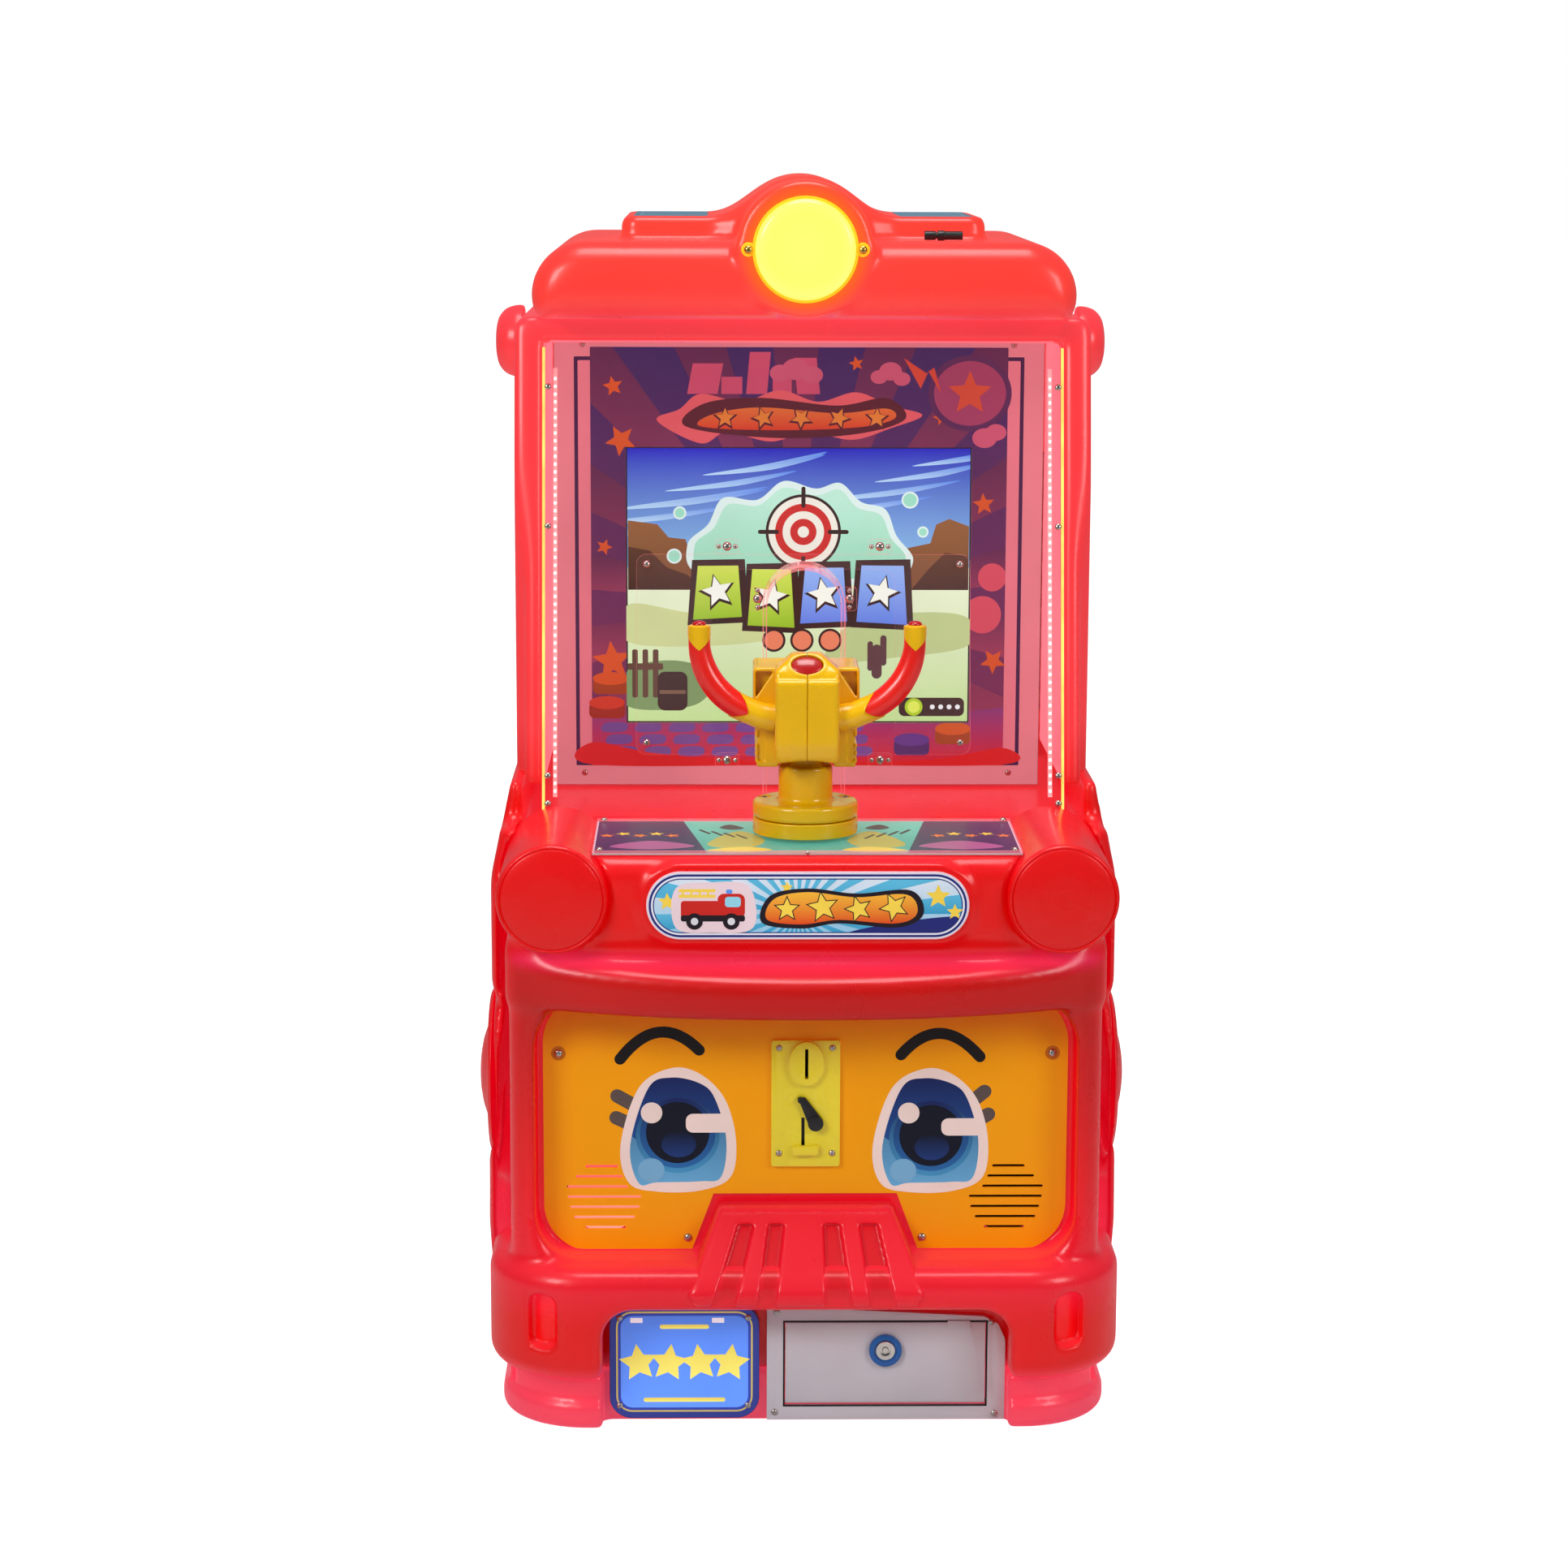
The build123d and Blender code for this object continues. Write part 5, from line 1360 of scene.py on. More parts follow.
def header_print():
    """Sunburst with a toy fire truck and a starred ribbon, inside a double border."""
    low, high = HEADER_LOW, HEADER_HIGH
    cz = (low.z + high.z) / 2
    field, *borders = [inset(low, high, gap, (high.z - low.z) / 2 - gap - 0.2, 14)
                       for gap in (7.5, 1.0, 2.4, 4.6, 6.4)]
    layers = list(zip(borders, (linear(226, 220, 236), NAVY, linear(232, 232, 244), NAVY)))
    layers.append((field, (linear(150, 205, 235), linear(222, 232, 246))))
    ray = (linear(60, 160, 206), linear(96, 190, 226))
    layers += [(wedge, ray) for wedge in rays(-10, cz - 8, 200, 26, field)]
    hill = flowing([(30, low.z + 4), (80, low.z + 16), (150, low.z + 22), (150, low.z), (40, low.z - 6)])
    layers.append((trimmed(hill, field), NAVY))
    for x, z, size in ((-134, cz + 4, 9), (124, cz + 9, 12), (140, cz - 6, 8), (-20, cz + 18, 6)):
        layers.append((star(x, z, size), GOLD))
    red, dark = linear(206, 40, 34), linear(34, 24, 34)
    x, z = -92, cz - 17
    halo = flowing([(x - 34, z - 4), (x - 34, z + 34), (x, z + 40), (x + 36, z + 36), (x + 40, z - 4),
                    (x, z - 9)])
    layers += [(halo, linear(240, 214, 222)),
               (plate(x - 29, x + 8, z + 5, z + 22, 3), red), (plate(x + 6, x + 32, z + 5, z + 29, 6), red),
               (plate(x + 13, x + 28, z + 16, z + 26, 3), linear(150, 214, 236)),
               (plate(x - 29, x + 32, z + 2, z + 8, 2), dark),
               (plate(x - 31, x + 4, z + 25, z + 28, 1), GOLD),
               (plate(x - 31, x + 4, z + 30.5, z + 33.5, 1), GOLD)]
    layers += [(plate(x - 28 + 8 * i, x - 26 + 8 * i, z + 26, z + 32, 0.8), GOLD) for i in range(4)]
    for cx in (x - 16, x + 19):
        layers += [(ellipse(cx, z + 2, 8, 8, 28), dark),
                   (ellipse(cx, z + 2, 3.6, 3.6, 20), linear(220, 220, 226))]
    layers.append((plate(x + 14, x + 20, z + 29, z + 33, 1.5), linear(90, 150, 240)))
    ribbon = flowing([(-44, cz - 16), (-36, cz + 10), (0, cz + 17), (46, cz + 12), (98, cz + 15),
                      (110, cz - 8),
                      (86, cz - 21), (30, cz - 17), (-6, cz - 22)])
    inner = flowing([(-39, cz - 13), (-32, cz + 7), (0, cz + 13.5), (46, cz + 8.5), (94, cz + 11),
                     (104, cz - 7),
                     (84, cz - 17), (30, cz - 13.5), (-6, cz - 18)])
    layers += [(ribbon, dark), (inner, (linear(226, 72, 28), linear(250, 186, 60)))]
    for i, size in enumerate((11, 14, 12, 13)):
        for grow, tone in ((2.5, dark), (0, GOLD)):
            layers.append((star(-20 + 34 * i, cz - 3 + (i % 2) * 2, size + grow, turn=0.15 * i), tone))
    return upright_sheet("header_print", layers, HEADER_LOW.y, LIT_PRINT, "printed_plate")


def plate_print():
    """Lit plate with a navy border, a gold line and a row of stars."""
    blue = (linear(96, 148, 255), linear(84, 128, 226))
    bands = ((0.6, 21, linear(46, 56, 130)), (6.5, 16, linear(190, 170, 90)), (8.2, 14, linear(50, 66, 160)),
             (11, 12, blue))
    layers = [(inset(PLATE_LOW, PLATE_HIGH, gap, r), tone) for gap, r, tone in bands]
    cx = (PLATE_LOW.x + PLATE_HIGH.x) / 2
    gold = (linear(240, 226, 110), linear(214, 196, 84))
    for i, x in enumerate((-45, -15, 15, 45)):
        layers.append((star(cx + x, 67, 19.5, waist=0.5, turn=0.12 * (-1) ** i), gold))
    layers += [(capsule(cx - 22, 104, cx + 22, 104, 2.2), gold),
               (capsule(cx - 38, 29, cx + 38, 29, 2.2), gold)]
    layers += [(plate(x - 6, x + 6, 108, 113, 0.6), linear(236, 226, 236)) for x in (cx - 47, cx + 33)]
    return upright_sheet("plate_print", layers, PLATE_LOW.y, printed("backlit_plate", 0.55), "printed_plate")


# Opening for the screen in the printed board: left, right, low and high
SCREEN_HOLE = (-183, 183, 633, 928)


def art_print():
    """Printed board round the screen: sunburst, stars, a street of blocks and a play desk."""
    plum = linear(100, 44, 96)
    field = plate(-220, 220, 587, 1033, 1)
    bands = ((0.5, linear(255, 158, 172)), (21, linear(64, 24, 84)), (25, linear(255, 150, 168)))
    layers = [(inset(ART_LOW, ART_HIGH, gap, 1), tone) for gap, tone in bands]
    layers.append((field, (linear(140, 54, 104), linear(60, 40, 116))))
    layers += [(wedge, (linear(176, 72, 112), plum)) for wedge in rays(0, 760, 420, 18, field, 0.5, 0.1)]
    for x, z, size, turn in ((-196, 992, 11, 0.2), (-188, 935, 17, 0.5), (196, 868, 12, 0.1),
                             (-198, 700, 22, 0.1),
                             (208, 700, 14, 0.6), (150, 960, 9, 0.3), (-206, 822, 9, 0.9),
                             (60, 1016, 8, 0.2)):
        layers.append((star(x, z, size, turn=turn), linear(240, 104, 40)))
    for x0, x1, top, lean in ((-118, -86, 1016, 6), (-82, -60, 1002, 0), (-56, -34, 1028, 4),
                              (-28, -8, 1008, 0),
                              (-2, 22, 1022, -4)):
        layers.append(([(x0, 984), (x1, 984), (x1 + lean, top), (x0 + lean, top)], linear(226, 92, 130)))
    layers += [(ellipse(180, 985, 44, 40), linear(96, 44, 104)),
               (ellipse(180, 985, 38, 34), linear(180, 74, 120)),
               (star(180, 985, 24), linear(236, 92, 60))]
    for x, z, r in ((-20, 1006, 11), (-4, 1010, 14), (14, 1004, 11), (84, 1002, 9), (96, 1008, 12),
                    (108, 1000, 9),
                    (40, 962, 13), (60, 968, 16), (80, 960, 13), (208, 944, 11), (196, 938, 13)):
        layers.append((trimmed(ellipse(x, z, r, r * 0.8), field), linear(226, 104, 140)))
    bolt = [(110, 1022), (128, 990), (136, 1008), (150, 984), (142, 1012), (134, 1006)]
    layers.append((bolt[::-1], linear(236, 84, 60)))
    ribbon = flowing([(-150, 956), (-126, 968), (-104, 984), (-60, 976), (-20, 988), (20, 976), (60, 986),
                      (96, 972),
                      (130, 962), (96, 948), (56, 936), (10, 944), (-30, 934), (-76, 944), (-104, 932)])
    layers.append((ribbon, linear(250, 110, 120)))
    ribbon = flowing([(-120, 950), (-100, 974), (-40, 980), (40, 972), (92, 980), (112, 958), (60, 942),
                      (-30, 938)])
    layers += [(ribbon, linear(96, 30, 50)),
               (flowing([(-104, 950), (-90, 963), (-40, 970), (40, 964), (92, 969), (100, 958), (60, 949),
                         (-30, 946)]),
                (linear(236, 70, 40), linear(246, 130, 60)))]
    for i in range(5):
        x = -78 + 40 * i
        layers.append((star(x, 958, 14, turn=0.3 * i), linear(96, 30, 50)))
        layers.append((star(x, 959, 10.5, turn=0.3 * i), linear(250, 150, 60)))
    desk = [(-220, 640), (-220, 587), (220, 587), (220, 650), (150, 642), (0, 636), (-150, 640)][::-1]
    layers.append((desk, (linear(236, 36, 40), linear(150, 70, 150))))
    keys = linear(124, 88, 178)
    for row in range(3):
        for col in range(9):
            x = -196 + 36 * col + 5 * row
            z = 628 - 13 * row
            if x < 90:
                layers.append((flowing([(x - 13, z - 4), (x - 10, z + 5), (x + 12, z + 5), (x + 11, z - 4)],
                                       4), keys))
    layers.append((flowing([(-220, 612), (-150, 600), (-40, 592), (60, 590), (150, 594), (220, 606),
                            (220, 588),
                            (0, 587.5), (-220, 588)]), linear(240, 30, 36)))
    for x, z, tone in ((122, 610, linear(104, 66, 170)), (166, 622, linear(238, 110, 34)),
                       (-204, 650, linear(232, 70, 40)), (-200, 676, linear(238, 100, 30))):
        layers += [(plate(x - 19, x + 19, z - 12, z + 6, 6), darker(tone, 0.55)),
                   (ellipse(x, z + 5, 19, 7), tone)]
    for x, z, r in ((206, 790, 15), (196, 750, 20)):
        layers.append((trimmed(ellipse(x, z, r, r), field), linear(236, 96, 120)))
    return upright_sheet("art_print", layers, ART_LOW.y, ART_PRINT, "printed_plate", SCREEN_HOLE)


def screen_print():
    """Attract picture: desert under a streaked sky, with a target on a cloud."""
    view = plate(*SCREEN_HOLE, 1)
    sky = (linear(150, 206, 244), linear(20, 30, 190))
    layers = [(view, linear(20, 20, 30)), (plate(-181.5, 181.5, 780, 926.5, 0.5), sky)]
    for i in range(12):
        x, z = -190 + (i * 83) % 380, 836 + (i * 37) % 84
        long = 46 + (i * 29) % 50
        streak = flowing([(x - long, z - 9), (x, z + 2), (x + long, z + 13), (x + 8, z - 3)])
        layers.append((trimmed(streak, plate(-181.5, 181.5, 790, 926.5, 0.5)),
                       (linear(190, 222, 250), linear(90, 140, 236))))
    layers.append((plate(-181.5, 181.5, 634.5, 800, 0.5), (linear(196, 224, 150), linear(238, 244, 214))))
    rock, shade = (linear(120, 72, 40), linear(150, 96, 56)), (linear(60, 34, 22), linear(88, 52, 30))
    mesa_left = [(-181, 776), (-181, 850), (-150, 846), (-138, 832), (-120, 830), (-112, 806), (-84, 790),
                 (-60, 776)]
    mesa_right = [(181, 776), (181, 844), (160, 852), (146, 846), (140, 826), (112, 820), (104, 800),
                  (70, 776)]
    layers += [(mesa_left[::-1], rock), (mesa_right, rock),
               ([(-181, 776), (-181, 822), (-158, 818), (-140, 800), (-118, 792), (-100, 776)][::-1], shade),
               ([(181, 776), (181, 812), (156, 816), (138, 798), (120, 776)], shade)]
    layers.append((flowing([(-181, 720), (-181, 760), (-120, 752), (-60, 744), (-20, 726), (-90, 716)]),
                   linear(206, 214, 150)))
    layers.append((flowing([(30, 700), (60, 742), (130, 752), (181, 746), (181, 716), (110, 704)]),
                   linear(190, 204, 140)))
    layers.append((flowing([(-181, 650), (-181, 690), (-130, 700), (-90, 684), (-110, 652)]),
                   linear(120, 150, 96)))
    brown, dark = linear(92, 62, 48), linear(46, 32, 30)
    for x in (-174, -163, -152):
        layers.append((plate(x - 3, x + 3, 660, 712, 2), brown))
    layers += [(plate(-182, -144, 690, 697, 2), brown), (plate(-150, -118, 646, 688, 8), dark),
               (plate(-148, -120, 664, 668, 1), linear(120, 90, 70))]
    for x, z, r in ((84, 700, 5.5), (77, 706, 3), (91, 712, 3.4)):
        layers.append((capsule(x, z - 14, x, z + 12, r), linear(92, 60, 64)))
    cloud = flowing([(-104, 792), (-118, 824), (-96, 846), (-80, 874), (-44, 872), (-16, 892), (18, 884),
                     (44, 890),
                     (66, 870), (92, 862), (104, 834), (122, 808), (98, 786), (0, 780)])
    puff = flowing([(-98, 796), (-110, 824), (-90, 842), (-75, 867), (-43, 866), (-16, 885), (18, 877),
                    (43, 883),
                    (62, 864), (87, 856), (98, 832), (114, 810), (94, 792), (0, 787)])
    layers += [(cloud, linear(226, 244, 240)), (puff, (linear(150, 222, 190), linear(196, 240, 220)))]
    for x, z, r in ((-126, 858, 7), (118, 872, 9), (-132, 812, 8), (132, 838, 6)):
        layers += [(ellipse(x, z, r, r), linear(226, 244, 240)),
                   (ellipse(x, z, r - 2, r - 2), linear(160, 226, 200))]
    red, cream = linear(206, 44, 40), linear(244, 238, 226)
    for r, tone in ((40, dark), (37, cream), (30, red), (22, cream), (14, red), (6, cream)):
        layers.append((ellipse(5, 838, r, r), tone))
    for ax, ay, bx, by in ((5, 884, 5, 866), (5, 792, 5, 810), (-41, 838, -23, 838), (51, 838, 33, 838)):
        layers.append((capsule(ax, ay, bx, by, 2.2), dark))
    lime, sea = (linear(150, 190, 40), linear(214, 232, 90)), (linear(96, 130, 230), linear(150, 186, 250))
    blocks = [(-112, 744, 52, 58, lime, 0.06), (-54, 738, 50, 60, lime, -0.05), (2, 740, 50, 60, sea, 0.05),
              (62, 742, 54, 60, sea, -0.06)]
    for x, z, wide, tall, tone, lean in blocks:
        body = [(x, z), (x + wide, z + wide * lean), (x + wide - 4, z + tall), (x + 5, z + tall - 6 * lean)]
        edge = [(x - 6, z - 6), (x + wide + 7, z - 6 + wide * lean), (x + wide + 3, z + tall + 7),
                (x - 1, z + tall + 6)]
        layers += [(edge, dark), (body, tone)]
        for lift, size, ink in ((0, 21, dark), (1.5, 17, linear(250, 250, 240))):
            layers.append((star(x + wide / 2, z + tall / 2 + lift, size, turn=lean * 4), ink))
    for x in (-26, 4, 34):
        layers += [(ellipse(x, 722, 12.5, 12.5), dark), (ellipse(x, 722, 10, 10), linear(236, 130, 96))]
    layers += [(plate(108, 178, 640, 660, 6), dark), (ellipse(124, 650, 9.5, 9.5), linear(176, 206, 40)),
               (ellipse(124, 650, 6.5, 6.5), linear(226, 236, 90))]
    layers += [(ellipse(144 + 9 * i, 650, 2.6, 2.6, 20), WHITE) for i in range(4)]
    y = corners("lcd_panel")[0].y
    return upright_sheet("screen_picture", layers, y, SCREEN_PRINT, "lit_screen")


def deck_print():
    """Desert strip under the deck's clear cover, with a patterned band at each end."""
    low, high = DECK_LOW, DECK_HIGH
    field = plate(low.x + 2, high.x - 2, low.y + 2, high.y - 2, 1)
    teal, sand = linear(70, 176, 164), linear(196, 190, 96)
    layers = [(plate(low.x + 0.5, high.x - 0.5, low.y + 0.5, high.y - 0.5, 1), linear(226, 206, 226)),
              (field, (teal, linear(120, 214, 196)))]
    for side in (-1, 1):
        block = [(side * 204, low.y + 2), (side * 204, high.y - 2), (side * 120, high.y - 2),
                 (side * 96, low.y + 2)]
        layers.append((block if side > 0 else block[::-1], (linear(34, 44, 96), linear(92, 62, 100))))
        for i in range(5):
            x = side * (194 - 16 * i)
            layers.append((star(x, -236 + 9 * (i % 2), 8, turn=0.4 * i),
                           GOLD if i % 2 else linear(236, 130, 60)))
        for *anchors, tone in (((190, -290), (150, -262), (108, -288), (150, -304), linear(176, 96, 150)),
                               ((96, -280), (66, -214), (40, -258), (60, -300), sand),
                               ((84, -196), (74, -180), (60, -198), (72, -206), linear(70, 60, 80)),
                               ((34, -306), (60, -292), (96, -308), (60, -316), linear(244, 214, 90))):
            layers.append((flowing([(side * x, y) for x, y in anchors][::side]), tone))
        for i in range(4):
            x = side * (58 + 12 * i)
            layers.append((capsule(x, -250 + 8 * i, x + side * 9, -232 + 8 * i, 1.6), linear(70, 52, 60)))
    return sheet("deck_print", layers, lambda x, y: (x, y, high.z), (0, 0, 1), LIT_PRINT, "printed_plate")


def sign_print():
    """Printed strips on the sign block, left and right of the arch."""
    layers = []
    for side in (-1, 1):
        x0, x1 = sorted((side * 78, side * 170))
        layers.append((plate(x0, x1, -50, 138, 6), linear(90, 128, 150)))
        layers.append((plate(x0 + 5, x1 - 5, -44, 132, 4), linear(110, 150, 172)))
        for i in range(4):
            y = -36 + 44 * i
            stripe = [(x0 + 8, y), (x1 - 8, y + 14), (x1 - 8, y + 24), (x0 + 8, y + 10)]
            layers.append((stripe, linear(70, 110, 140)))
    return sheet("sign_print", layers, lambda x, y: (x, y, SIGN_TOP), (0, 0, 1), PRINT, "printed_plate")


# --- Clear pieces, lights and lamp

def clear_piece(name, node, is_edge, width=0.7):
    """Clear CAD piece with chamfered edges that carry the light of the hood."""
    item = softened(name, node, width, "cabinet", CLEAR, segments=1)
    item.data.materials.append(CLEAR_EDGE)
    for face in item.data.polygons:
        face.material_index = 1 if is_edge(face) else 0
    return item


def clear_pieces():
    """Window with its service plate and clips, the gun's guard and the deck's cover."""
    sheet_normal = Vector((0, cos(WINDOW_LEAN), -sin(WINDOW_LEAN)))
    for name, node in (("window", "front_window"), ("service_plate", "window_cover_plate"),
                       ("plate_clips", "window_clips")):
        clear_piece(name, node, lambda face: abs(face.normal.dot(sheet_normal)) < 0.97)
    clear_piece("guard", "gun_guard", lambda face: abs(face.normal.y) < 0.9)
    clear_piece("deck_glass", "deck_cover", lambda face: abs(face.normal.z) < 0.9)


def light_strips():
    """White tape with a row of bright dots on each pillar."""
    low, high = corners("led_strips")
    tape = glowing("strip_tape", linear(255, 110, 120), 0.7, 0.1, linear(250, 190, 190))
    points, faces, kinds = [], [], []

    def bar(x0, x1, z0, z1, out0, out1, kind):
        start = len(points)
        for z in (z0, z1):
            for x, out in ((x0, out0), (x1, out0), (x1, out1), (x0, out1)):
                points.append((x * MM, (window_y(z) + out) * MM, z * MM))
        for loop in ((0, 3, 2, 1), (4, 5, 6, 7), (0, 1, 5, 4), (1, 2, 6, 5), (2, 3, 7, 6), (3, 0, 4, 7)):
            faces.append([start + i for i in loop])
            kinds.append(kind)

    for side in (-1, 1):
        x = side * (high.x - 2.5)
        bar(x - 2, x + 2, low.z, high.z, 20, 26, 0)
        pitch = 7.7
        for i in range(int((high.z - low.z - 8) / pitch)):
            z = low.z + 6 + pitch * i
            bar(x - 1.1, x + 1.1, z - 1.3, z + 1.3, 18.6, 19.9, 1)
    item = mesh_object("light_strips", points, faces, smooth=False)
    mend_normals(item)
    place(item, "cabinet", "led_strips", tape)
    item.data.materials.append(LED_DOT)
    for face, kind in zip(item.data.polygons, kinds):
        face.material_index = kind


def window_glow():
    """Light leaving the sawn side edges of the window."""
    points, faces = [], []
    for side in (-1, 1):
        x0, x1 = sorted((side * (WINDOW_HALF - 3.2), side * (WINDOW_HALF - 0.4)))
        for z in np.linspace(WINDOW_LOW.z + 3, WINDOW_HIGH.z - 6, 24):
            start = len(points)
            y = window_y(z)
            rim = ((x0, y - 0.5), (x1, y - 0.5), (x1, y - 0.05), (x0, y - 0.05))
            points += [(x * MM, v * MM, z * MM) for x, v in rim]
            if z > WINDOW_LOW.z + 4:
                for a in range(4):
                    b = (a + 1) % 4
                    faces.append((start - 4 + a, start - 4 + b, start + b, start + a))
            else:
                faces.append((start + 3, start + 2, start + 1, start))
        faces.append(tuple(range(len(points) - 4, len(points))))
    item = mesh_object("window_edge_glow", points, faces, smooth=False)
    mend_normals(item)
    return place(item, "cabinet", None, STRIP_EDGE)


def lamp():
    """Domed beacon lens, brightest in the middle, in its yellow ring with two screw ears."""
    depth = LAMP_HIGH.y - LAMP_LOW.y
    profile = [(0, depth), (20, depth - 0.5), (36, depth - 2.2), (46, depth - 4.5), (LAMP_R, 0),
               (LAMP_R - 4, 0),
               (LAMP_R - 6, 1.5), (0, depth - 4)]
    lens = lathe("beacon_lens", rounded_profile(profile, 3), (0, LAMP_HIGH.y, LAMP_Z), "Y", 128)
    paint = Paint("beacon_yellow", 0.22, Emission_Strength=1.0)
    middle = paint.distance((0, LAMP_HIGH.y * MM, LAMP_Z * MM), (1, 0, 1))
    tone = paint.ramp(paint.span(middle, 0.0, 0.052, smooth=False), [
        (0.0, linear(255, 255, 118)), (0.7, linear(255, 254, 112)), (0.9, linear(255, 250, 124)),
        (1.0, linear(255, 226, 70))])
    paint.set(Base_Color=linear(120, 100, 20), Emission_Color=tone)
    place(lens, "cabinet", "lamp_dome", paint.material)
    softened("beacon_ring", "lamp_base", 1.2,
             finish=glowing("ring_yellow", linear(255, 150, 12), 0.75, 0.15, linear(250, 190, 20)))


# --- Hardware

def islands(node):
    """Lowest and highest corner of each separate solid in a CAD node, in millimetres."""
    shape = bmesh.new()
    shape.from_mesh(NODES[node].data)
    bmesh.ops.remove_doubles(shape, verts=shape.verts, dist=1e-5)
    seen, boxes = set(), []
    for vert in shape.verts:
        if vert in seen:
            continue
        stack, group = [vert], []
        seen.add(vert)
        while stack:
            here = stack.pop()
            group.append(here.co / MM)
            for edge in here.link_edges:
                other = edge.other_vert(here)
                if other not in seen:
                    seen.add(other)
                    stack.append(other)
        low = Vector([min(c[i] for c in group) for i in range(3)])
        high = Vector([max(c[i] for c in group) for i in range(3)])
        boxes.append((low, high))
    shape.free()
    return boxes


def screw_head():
    """Button head of unit radius with a cross recess, facing up."""
    dome = [(0, 0.62), (0.3, 0.6), (0.62, 0.5), (0.88, 0.3), (1.0, 0.08), (1.0, -0.2), (0, -0.2)]
    head = lathe("screw_template", [(r * 1000, z * 1000) for r, z in dome], (0, 0, 0), segments=28)
    for angle in (0, 90):
        slot = mesh_object("slot_template", [(x * 0.5, y * 0.11, z) for z in (0.28, 0.8) for x, y in
                                             ((-1, -1), (1, -1), (1, 1), (-1, 1))],
                           [(3, 2, 1, 0), (4, 5, 6, 7), (0, 1, 5, 4), (1, 2, 6, 5), (2, 3, 7, 6),
                            (3, 0, 4, 7)], False)
        slot.data.transform(Matrix.Rotation(radians(angle), 4, "Z"))
        carve = head.modifiers.new("cross", "BOOLEAN")
        carve.object = slot
        carve.operation = "DIFFERENCE"
        carve.solver = "EXACT"
        apply_modifiers(head)
        bpy.data.objects.remove(slot)
    mesh = head.data
    bpy.data.objects.remove(head)
    return mesh


def screw_set(name, heads, template, body, node, finish):
    """One object from screw heads, each with its seat in mm, its turn and its radius."""
    shape = bmesh.new()
    for seat, turn, radius in heads:
        mesh = template.copy()
        mesh.transform(Matrix.Translation(Vector(seat) * MM) @ turn @ Matrix.Scale(radius * MM, 4))
        shape.from_mesh(mesh)
        bpy.data.meshes.remove(mesh)
    item = from_bmesh(name, shape)
    mend_normals(item, 35)
    place(item, body, node, finish)


def screws():
    """Heads on the frame's screws, each turned by its own angle, and the few that the frame doesn't carry."""
    template = screw_head()
    thin = 2.5
    forward = Matrix.Rotation(radians(90), 4, "X")
    for name, node, tilt in (("panel_screws", "body_screws", 0.0),
                             ("glass_screws", "window_screws", WINDOW_LEAN)):
        heads = []
        for number, (low, high) in enumerate(islands(node)):
            middle = (low + high) / 2
            radius = (high.x - low.x) / 2
            if high.z - low.z < thin:
                seat, turn = (middle.x, middle.y, low.z), Matrix()
            else:
                seat = (middle.x, low.y + radius * 0.4, middle.z)
                turn = Matrix.Rotation(radians(90) - tilt, 4, "X")
            heads.append((seat, turn @ Matrix.Rotation(radians(37 * number), 4, "Z"), radius))
        screw_set(name, heads, template, "cabinet", node, STEEL)
    brass = metal("brass_screws", linear(222, 178, 92), 0.3)
    ears = [((x, LAMP_HIGH.y - 1.2, LAMP_Z), forward, 4.2) for x in (-LAMP_EAR_X, LAMP_EAR_X)]
    recesses = [((x, GUN_Y + 17, RING_HIGH.z + 13.9), Matrix(), 4.0) for x in (-40, 40)]
    front_edge = [((0, DECK_LOW.y + 0.6, DECK_HIGH.z + 0.3), forward, 2.2)]
    screw_set("lamp_screws", ears, template, "cabinet", None, brass)
    screw_set("ring_screws", recesses, template, "gun_yoke", None, STEEL)
    screw_set("deck_screw", front_edge, template, "cabinet", None, STEEL)


def slot_light():
    """Pink light behind the left speaker slots, and a painted shadow in the gap round the cash door."""
    behind = ellipse(-SPEAKER_X, SPEAKER_Z, SPEAKER_R - 1, SPEAKER_R - 1)
    glow = [(behind, (linear(255, 176, 170), linear(250, 84, 96)))]
    upright_sheet("slot_light", glow, PANEL_HIGH.y + 2, printed("slot_glow", 0.8), "light_strip")
    # Painted shadow: near-black bars on the frame round the cash door
    frame_y = corners("cash_door_frame")[0].y
    out, wide = 2 * DOOR_GAP, 1.8
    x0, x1, z0, z1 = DOOR_LEFT - out, DOOR_RIGHT + out, DOOR_LOW - out + 0.2, DOOR_HIGH + out
    bars = [(x0, x0 + wide, z0, z1), (x1 - wide, x1, z0, z1), (x0, x1, z0, z0 + wide),
            (x0, x1, z1 - wide, z1)]
    gap = [(plate(*bar, 0.2, 2), linear(20, 16, 18)) for bar in bars]
    upright_sheet("door_gap_painted_shadow", gap, frame_y, PRINT, "black_plastic")


def cash_lock():
    """Chrome barrel with a tubular key way inside a blue plastic ring."""
    centre = ((DOOR_LEFT + DOOR_RIGHT) / 2, corners("cash_lock")[0].y + 5, 78.0)
    ring = [(10.4, 0.2), (16, 0.2), (16, 4.2), (14.6, 5), (11.6, 5), (10.4, 3.6), (10.4, 0.2)]
    blue = moulded("blue_ring", linear(24, 92, 168), 0.3).material
    collar = lathe("lock_ring", ring, centre, "Y", 64)
    place(collar, "cash_lock", None, blue)
    barrel = [(0, 2.6), (2.6, 2.6), (3.0, 2.2), (3.2, 0.4), (5.2, 0.4), (5.4, 4.0), (9.2, 4.4), (10.1, 3.6),
              (10.1, -11), (0, -11)]
    core = lathe("lock_barrel", barrel, centre, "Y", 64)
    place(core, "cash_lock", "cash_lock", CHROME)


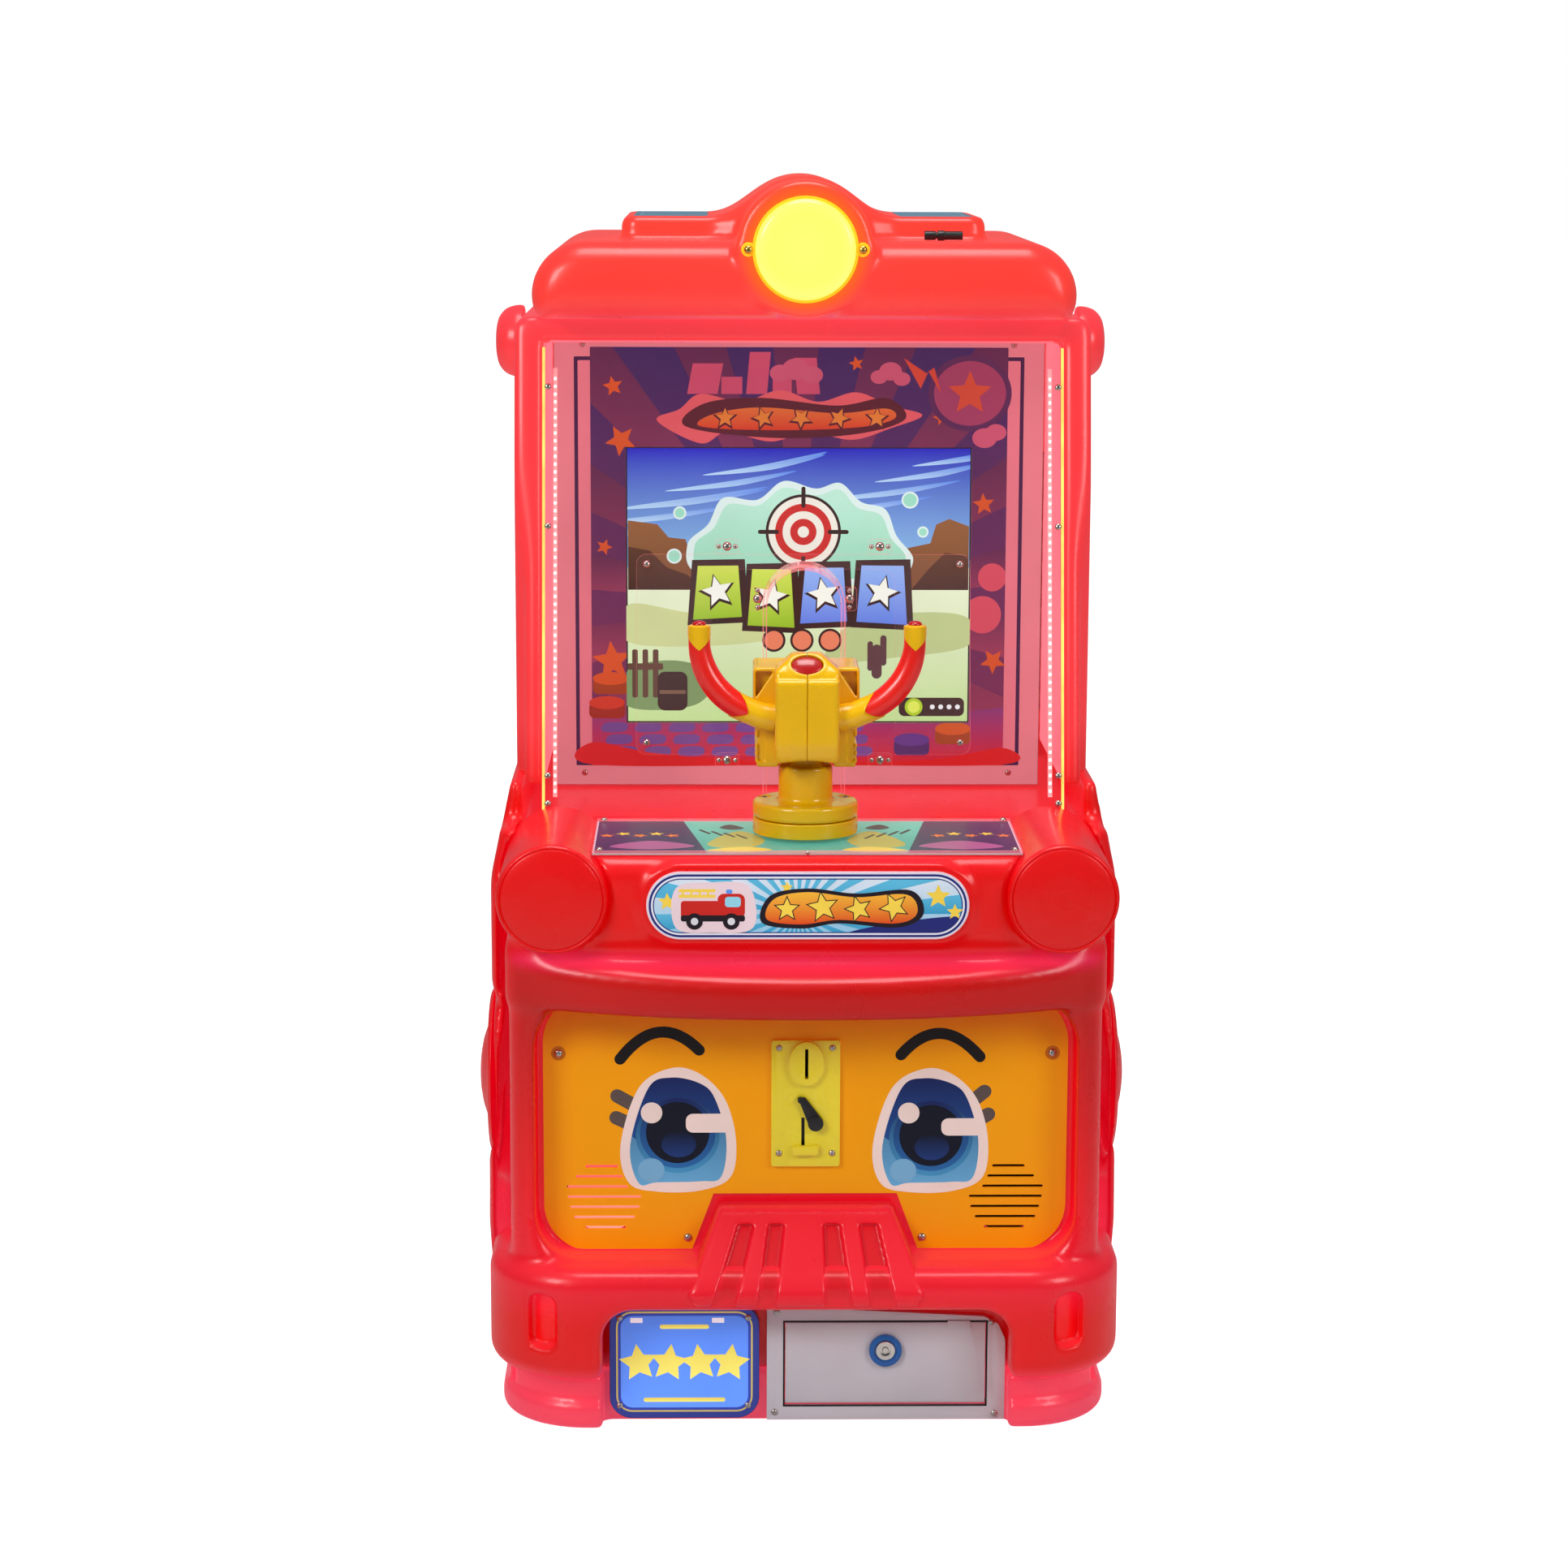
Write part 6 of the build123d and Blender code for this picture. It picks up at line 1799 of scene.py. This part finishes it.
def draw_in(door):
    """Move the cash door's four edges inward, so that the gap round it shows."""
    centre = Vector(((DOOR_LEFT + DOOR_RIGHT) / 2, 0, (DOOR_LOW + DOOR_HIGH) / 2)) * MM
    edge_x, edge_z, inward = 90.0 * MM, 39.15 * MM, 0.7 * MM
    for vert in door.data.vertices:
        for axis, edge in ((0, edge_x), (2, edge_z)):
            offset = vert.co[axis] - centre[axis]
            if abs(offset) > edge:
                vert.co[axis] -= inward if offset > 0 else -inward


def metal_pieces():
    """Softened copies of the folded, cast and moulded hardware."""
    grey = powder_coated("grey_powder_coat", linear(120, 120, 126))
    pieces = [
        ("door_frame", "cash_door_frame", 0.8, "cabinet", WHITE_STEEL, "white_steel"),
        ("door", "cash_door", 0.5, "cash_door", WHITE_STEEL, "white_steel"),
        ("coin_box", "cash_box", 0.5, "cabinet", STEEL, "plated_steel"),
        ("coin_plate", "coin_bezel", 1.6, "cabinet", COIN_YELLOW, "yellow_plastic"),
        ("coin_lever", "coin_reject_lever", 1.0, "reject_lever", BLACK, "black_plastic"),
        ("plate_body", "number_plate", 1.5, "cabinet", moulded("navy_plastic", NAVY, 0.3).material,
         "printed_plate"),
        ("header_body", "marquee_plate", 0.8, "cabinet",
         clear_sheet("header_acrylic", 1.0, linear(226, 190, 200), 0.2, 0.12), "printed_plate"),
        ("service_door", "rear_door", 0.6, "rear_door", grey, "white_steel"),
        ("service_hinge", "rear_hinge", 0.3, "cabinet", STEEL, "plated_steel"),
        ("service_lock", "rear_lock", 0.8, "rear_lock", CHROME, "lock_chrome"),
        ("aerial_plug", "roof_antenna", 0.5, "cabinet", BLACK, "black_plastic"),
        ("muzzle", "gun_barrel", 1.5, "gun_head", BLACK, "black_plastic"),
        ("mains_inlet", "power_inlet", 0.8, "cabinet", BLACK, "black_plastic"),
        ("mains_rocker", "power_switch", 0.8, "power_switch", BLACK, "black_plastic"),
        ("floor_feet", "floor_pads", 0.8, "cabinet", RUBBER, "rubber"),
        ("screen_frame", "lcd_panel", 0.8, "cabinet", BLACK, "black_plastic"),
    ]
    for name, node, width, body, finish, slot in pieces:
        item = softened(name, node, width, body, finish)
        if name == "door":
            draw_in(item)


def cad_finishes():
    """Better materials on the CAD pieces that stay as they are."""
    board = moulded("green_board", linear(20, 92, 52), 0.4, 0.3, 300).material
    panel = moulded("yellow_panel", linear(240, 150, 8), 0.36, 0.1, 600, 0.0001)
    # Painted shade and red light from the brim towards the panel's top, and a faint painted glow over the
    # whole panel that makes up for the recess's shade
    shade = panel.span(panel.axes()[2], 0.36, 0.433, 0.0, 0.7)
    tone = panel.mix(shade, linear(244, 160, 4), linear(208, 66, 8))
    panel.set(Base_Color=tone, Emission_Color=tone, Emission_Strength=0.12, Specular_IOR_Level=0.2)
    art_back = moulded("art_board", linear(196, 190, 190), 0.5, 0.1).material
    finishes = {
        "face_panel": panel.material, "art_backdrop": art_back, "deck_art_panel": art_back,
        "coin_mech_body": BLACK, "speakers": BLACK, "io_board": board, "lamp_board": board,
        "board_tray": STEEL, "lcd_bracket": STEEL, "gun_tilt_shaft": STEEL, "power_supply": STEEL}
    for node, finish in finishes.items():
        item = NODES[node]
        if not item.material_slots:
            item.data.materials.append(finish)
        for each in item.material_slots:
            each.material = finish


studio()
lower_front()
nose()
lower_rear()
skirt()
hood()
roof()
side_domes()
drums()
base_ring()
turntable()
gun_casing()
rear_cover()
thumb_button()
handles()
face_print()
header_print()
plate_print()
art_print()
screen_print()
deck_print()
sign_print()
clear_pieces()
light_strips()
window_glow()
lamp()
screws()
slot_light()
cash_lock()
metal_pieces()
cad_finishes()
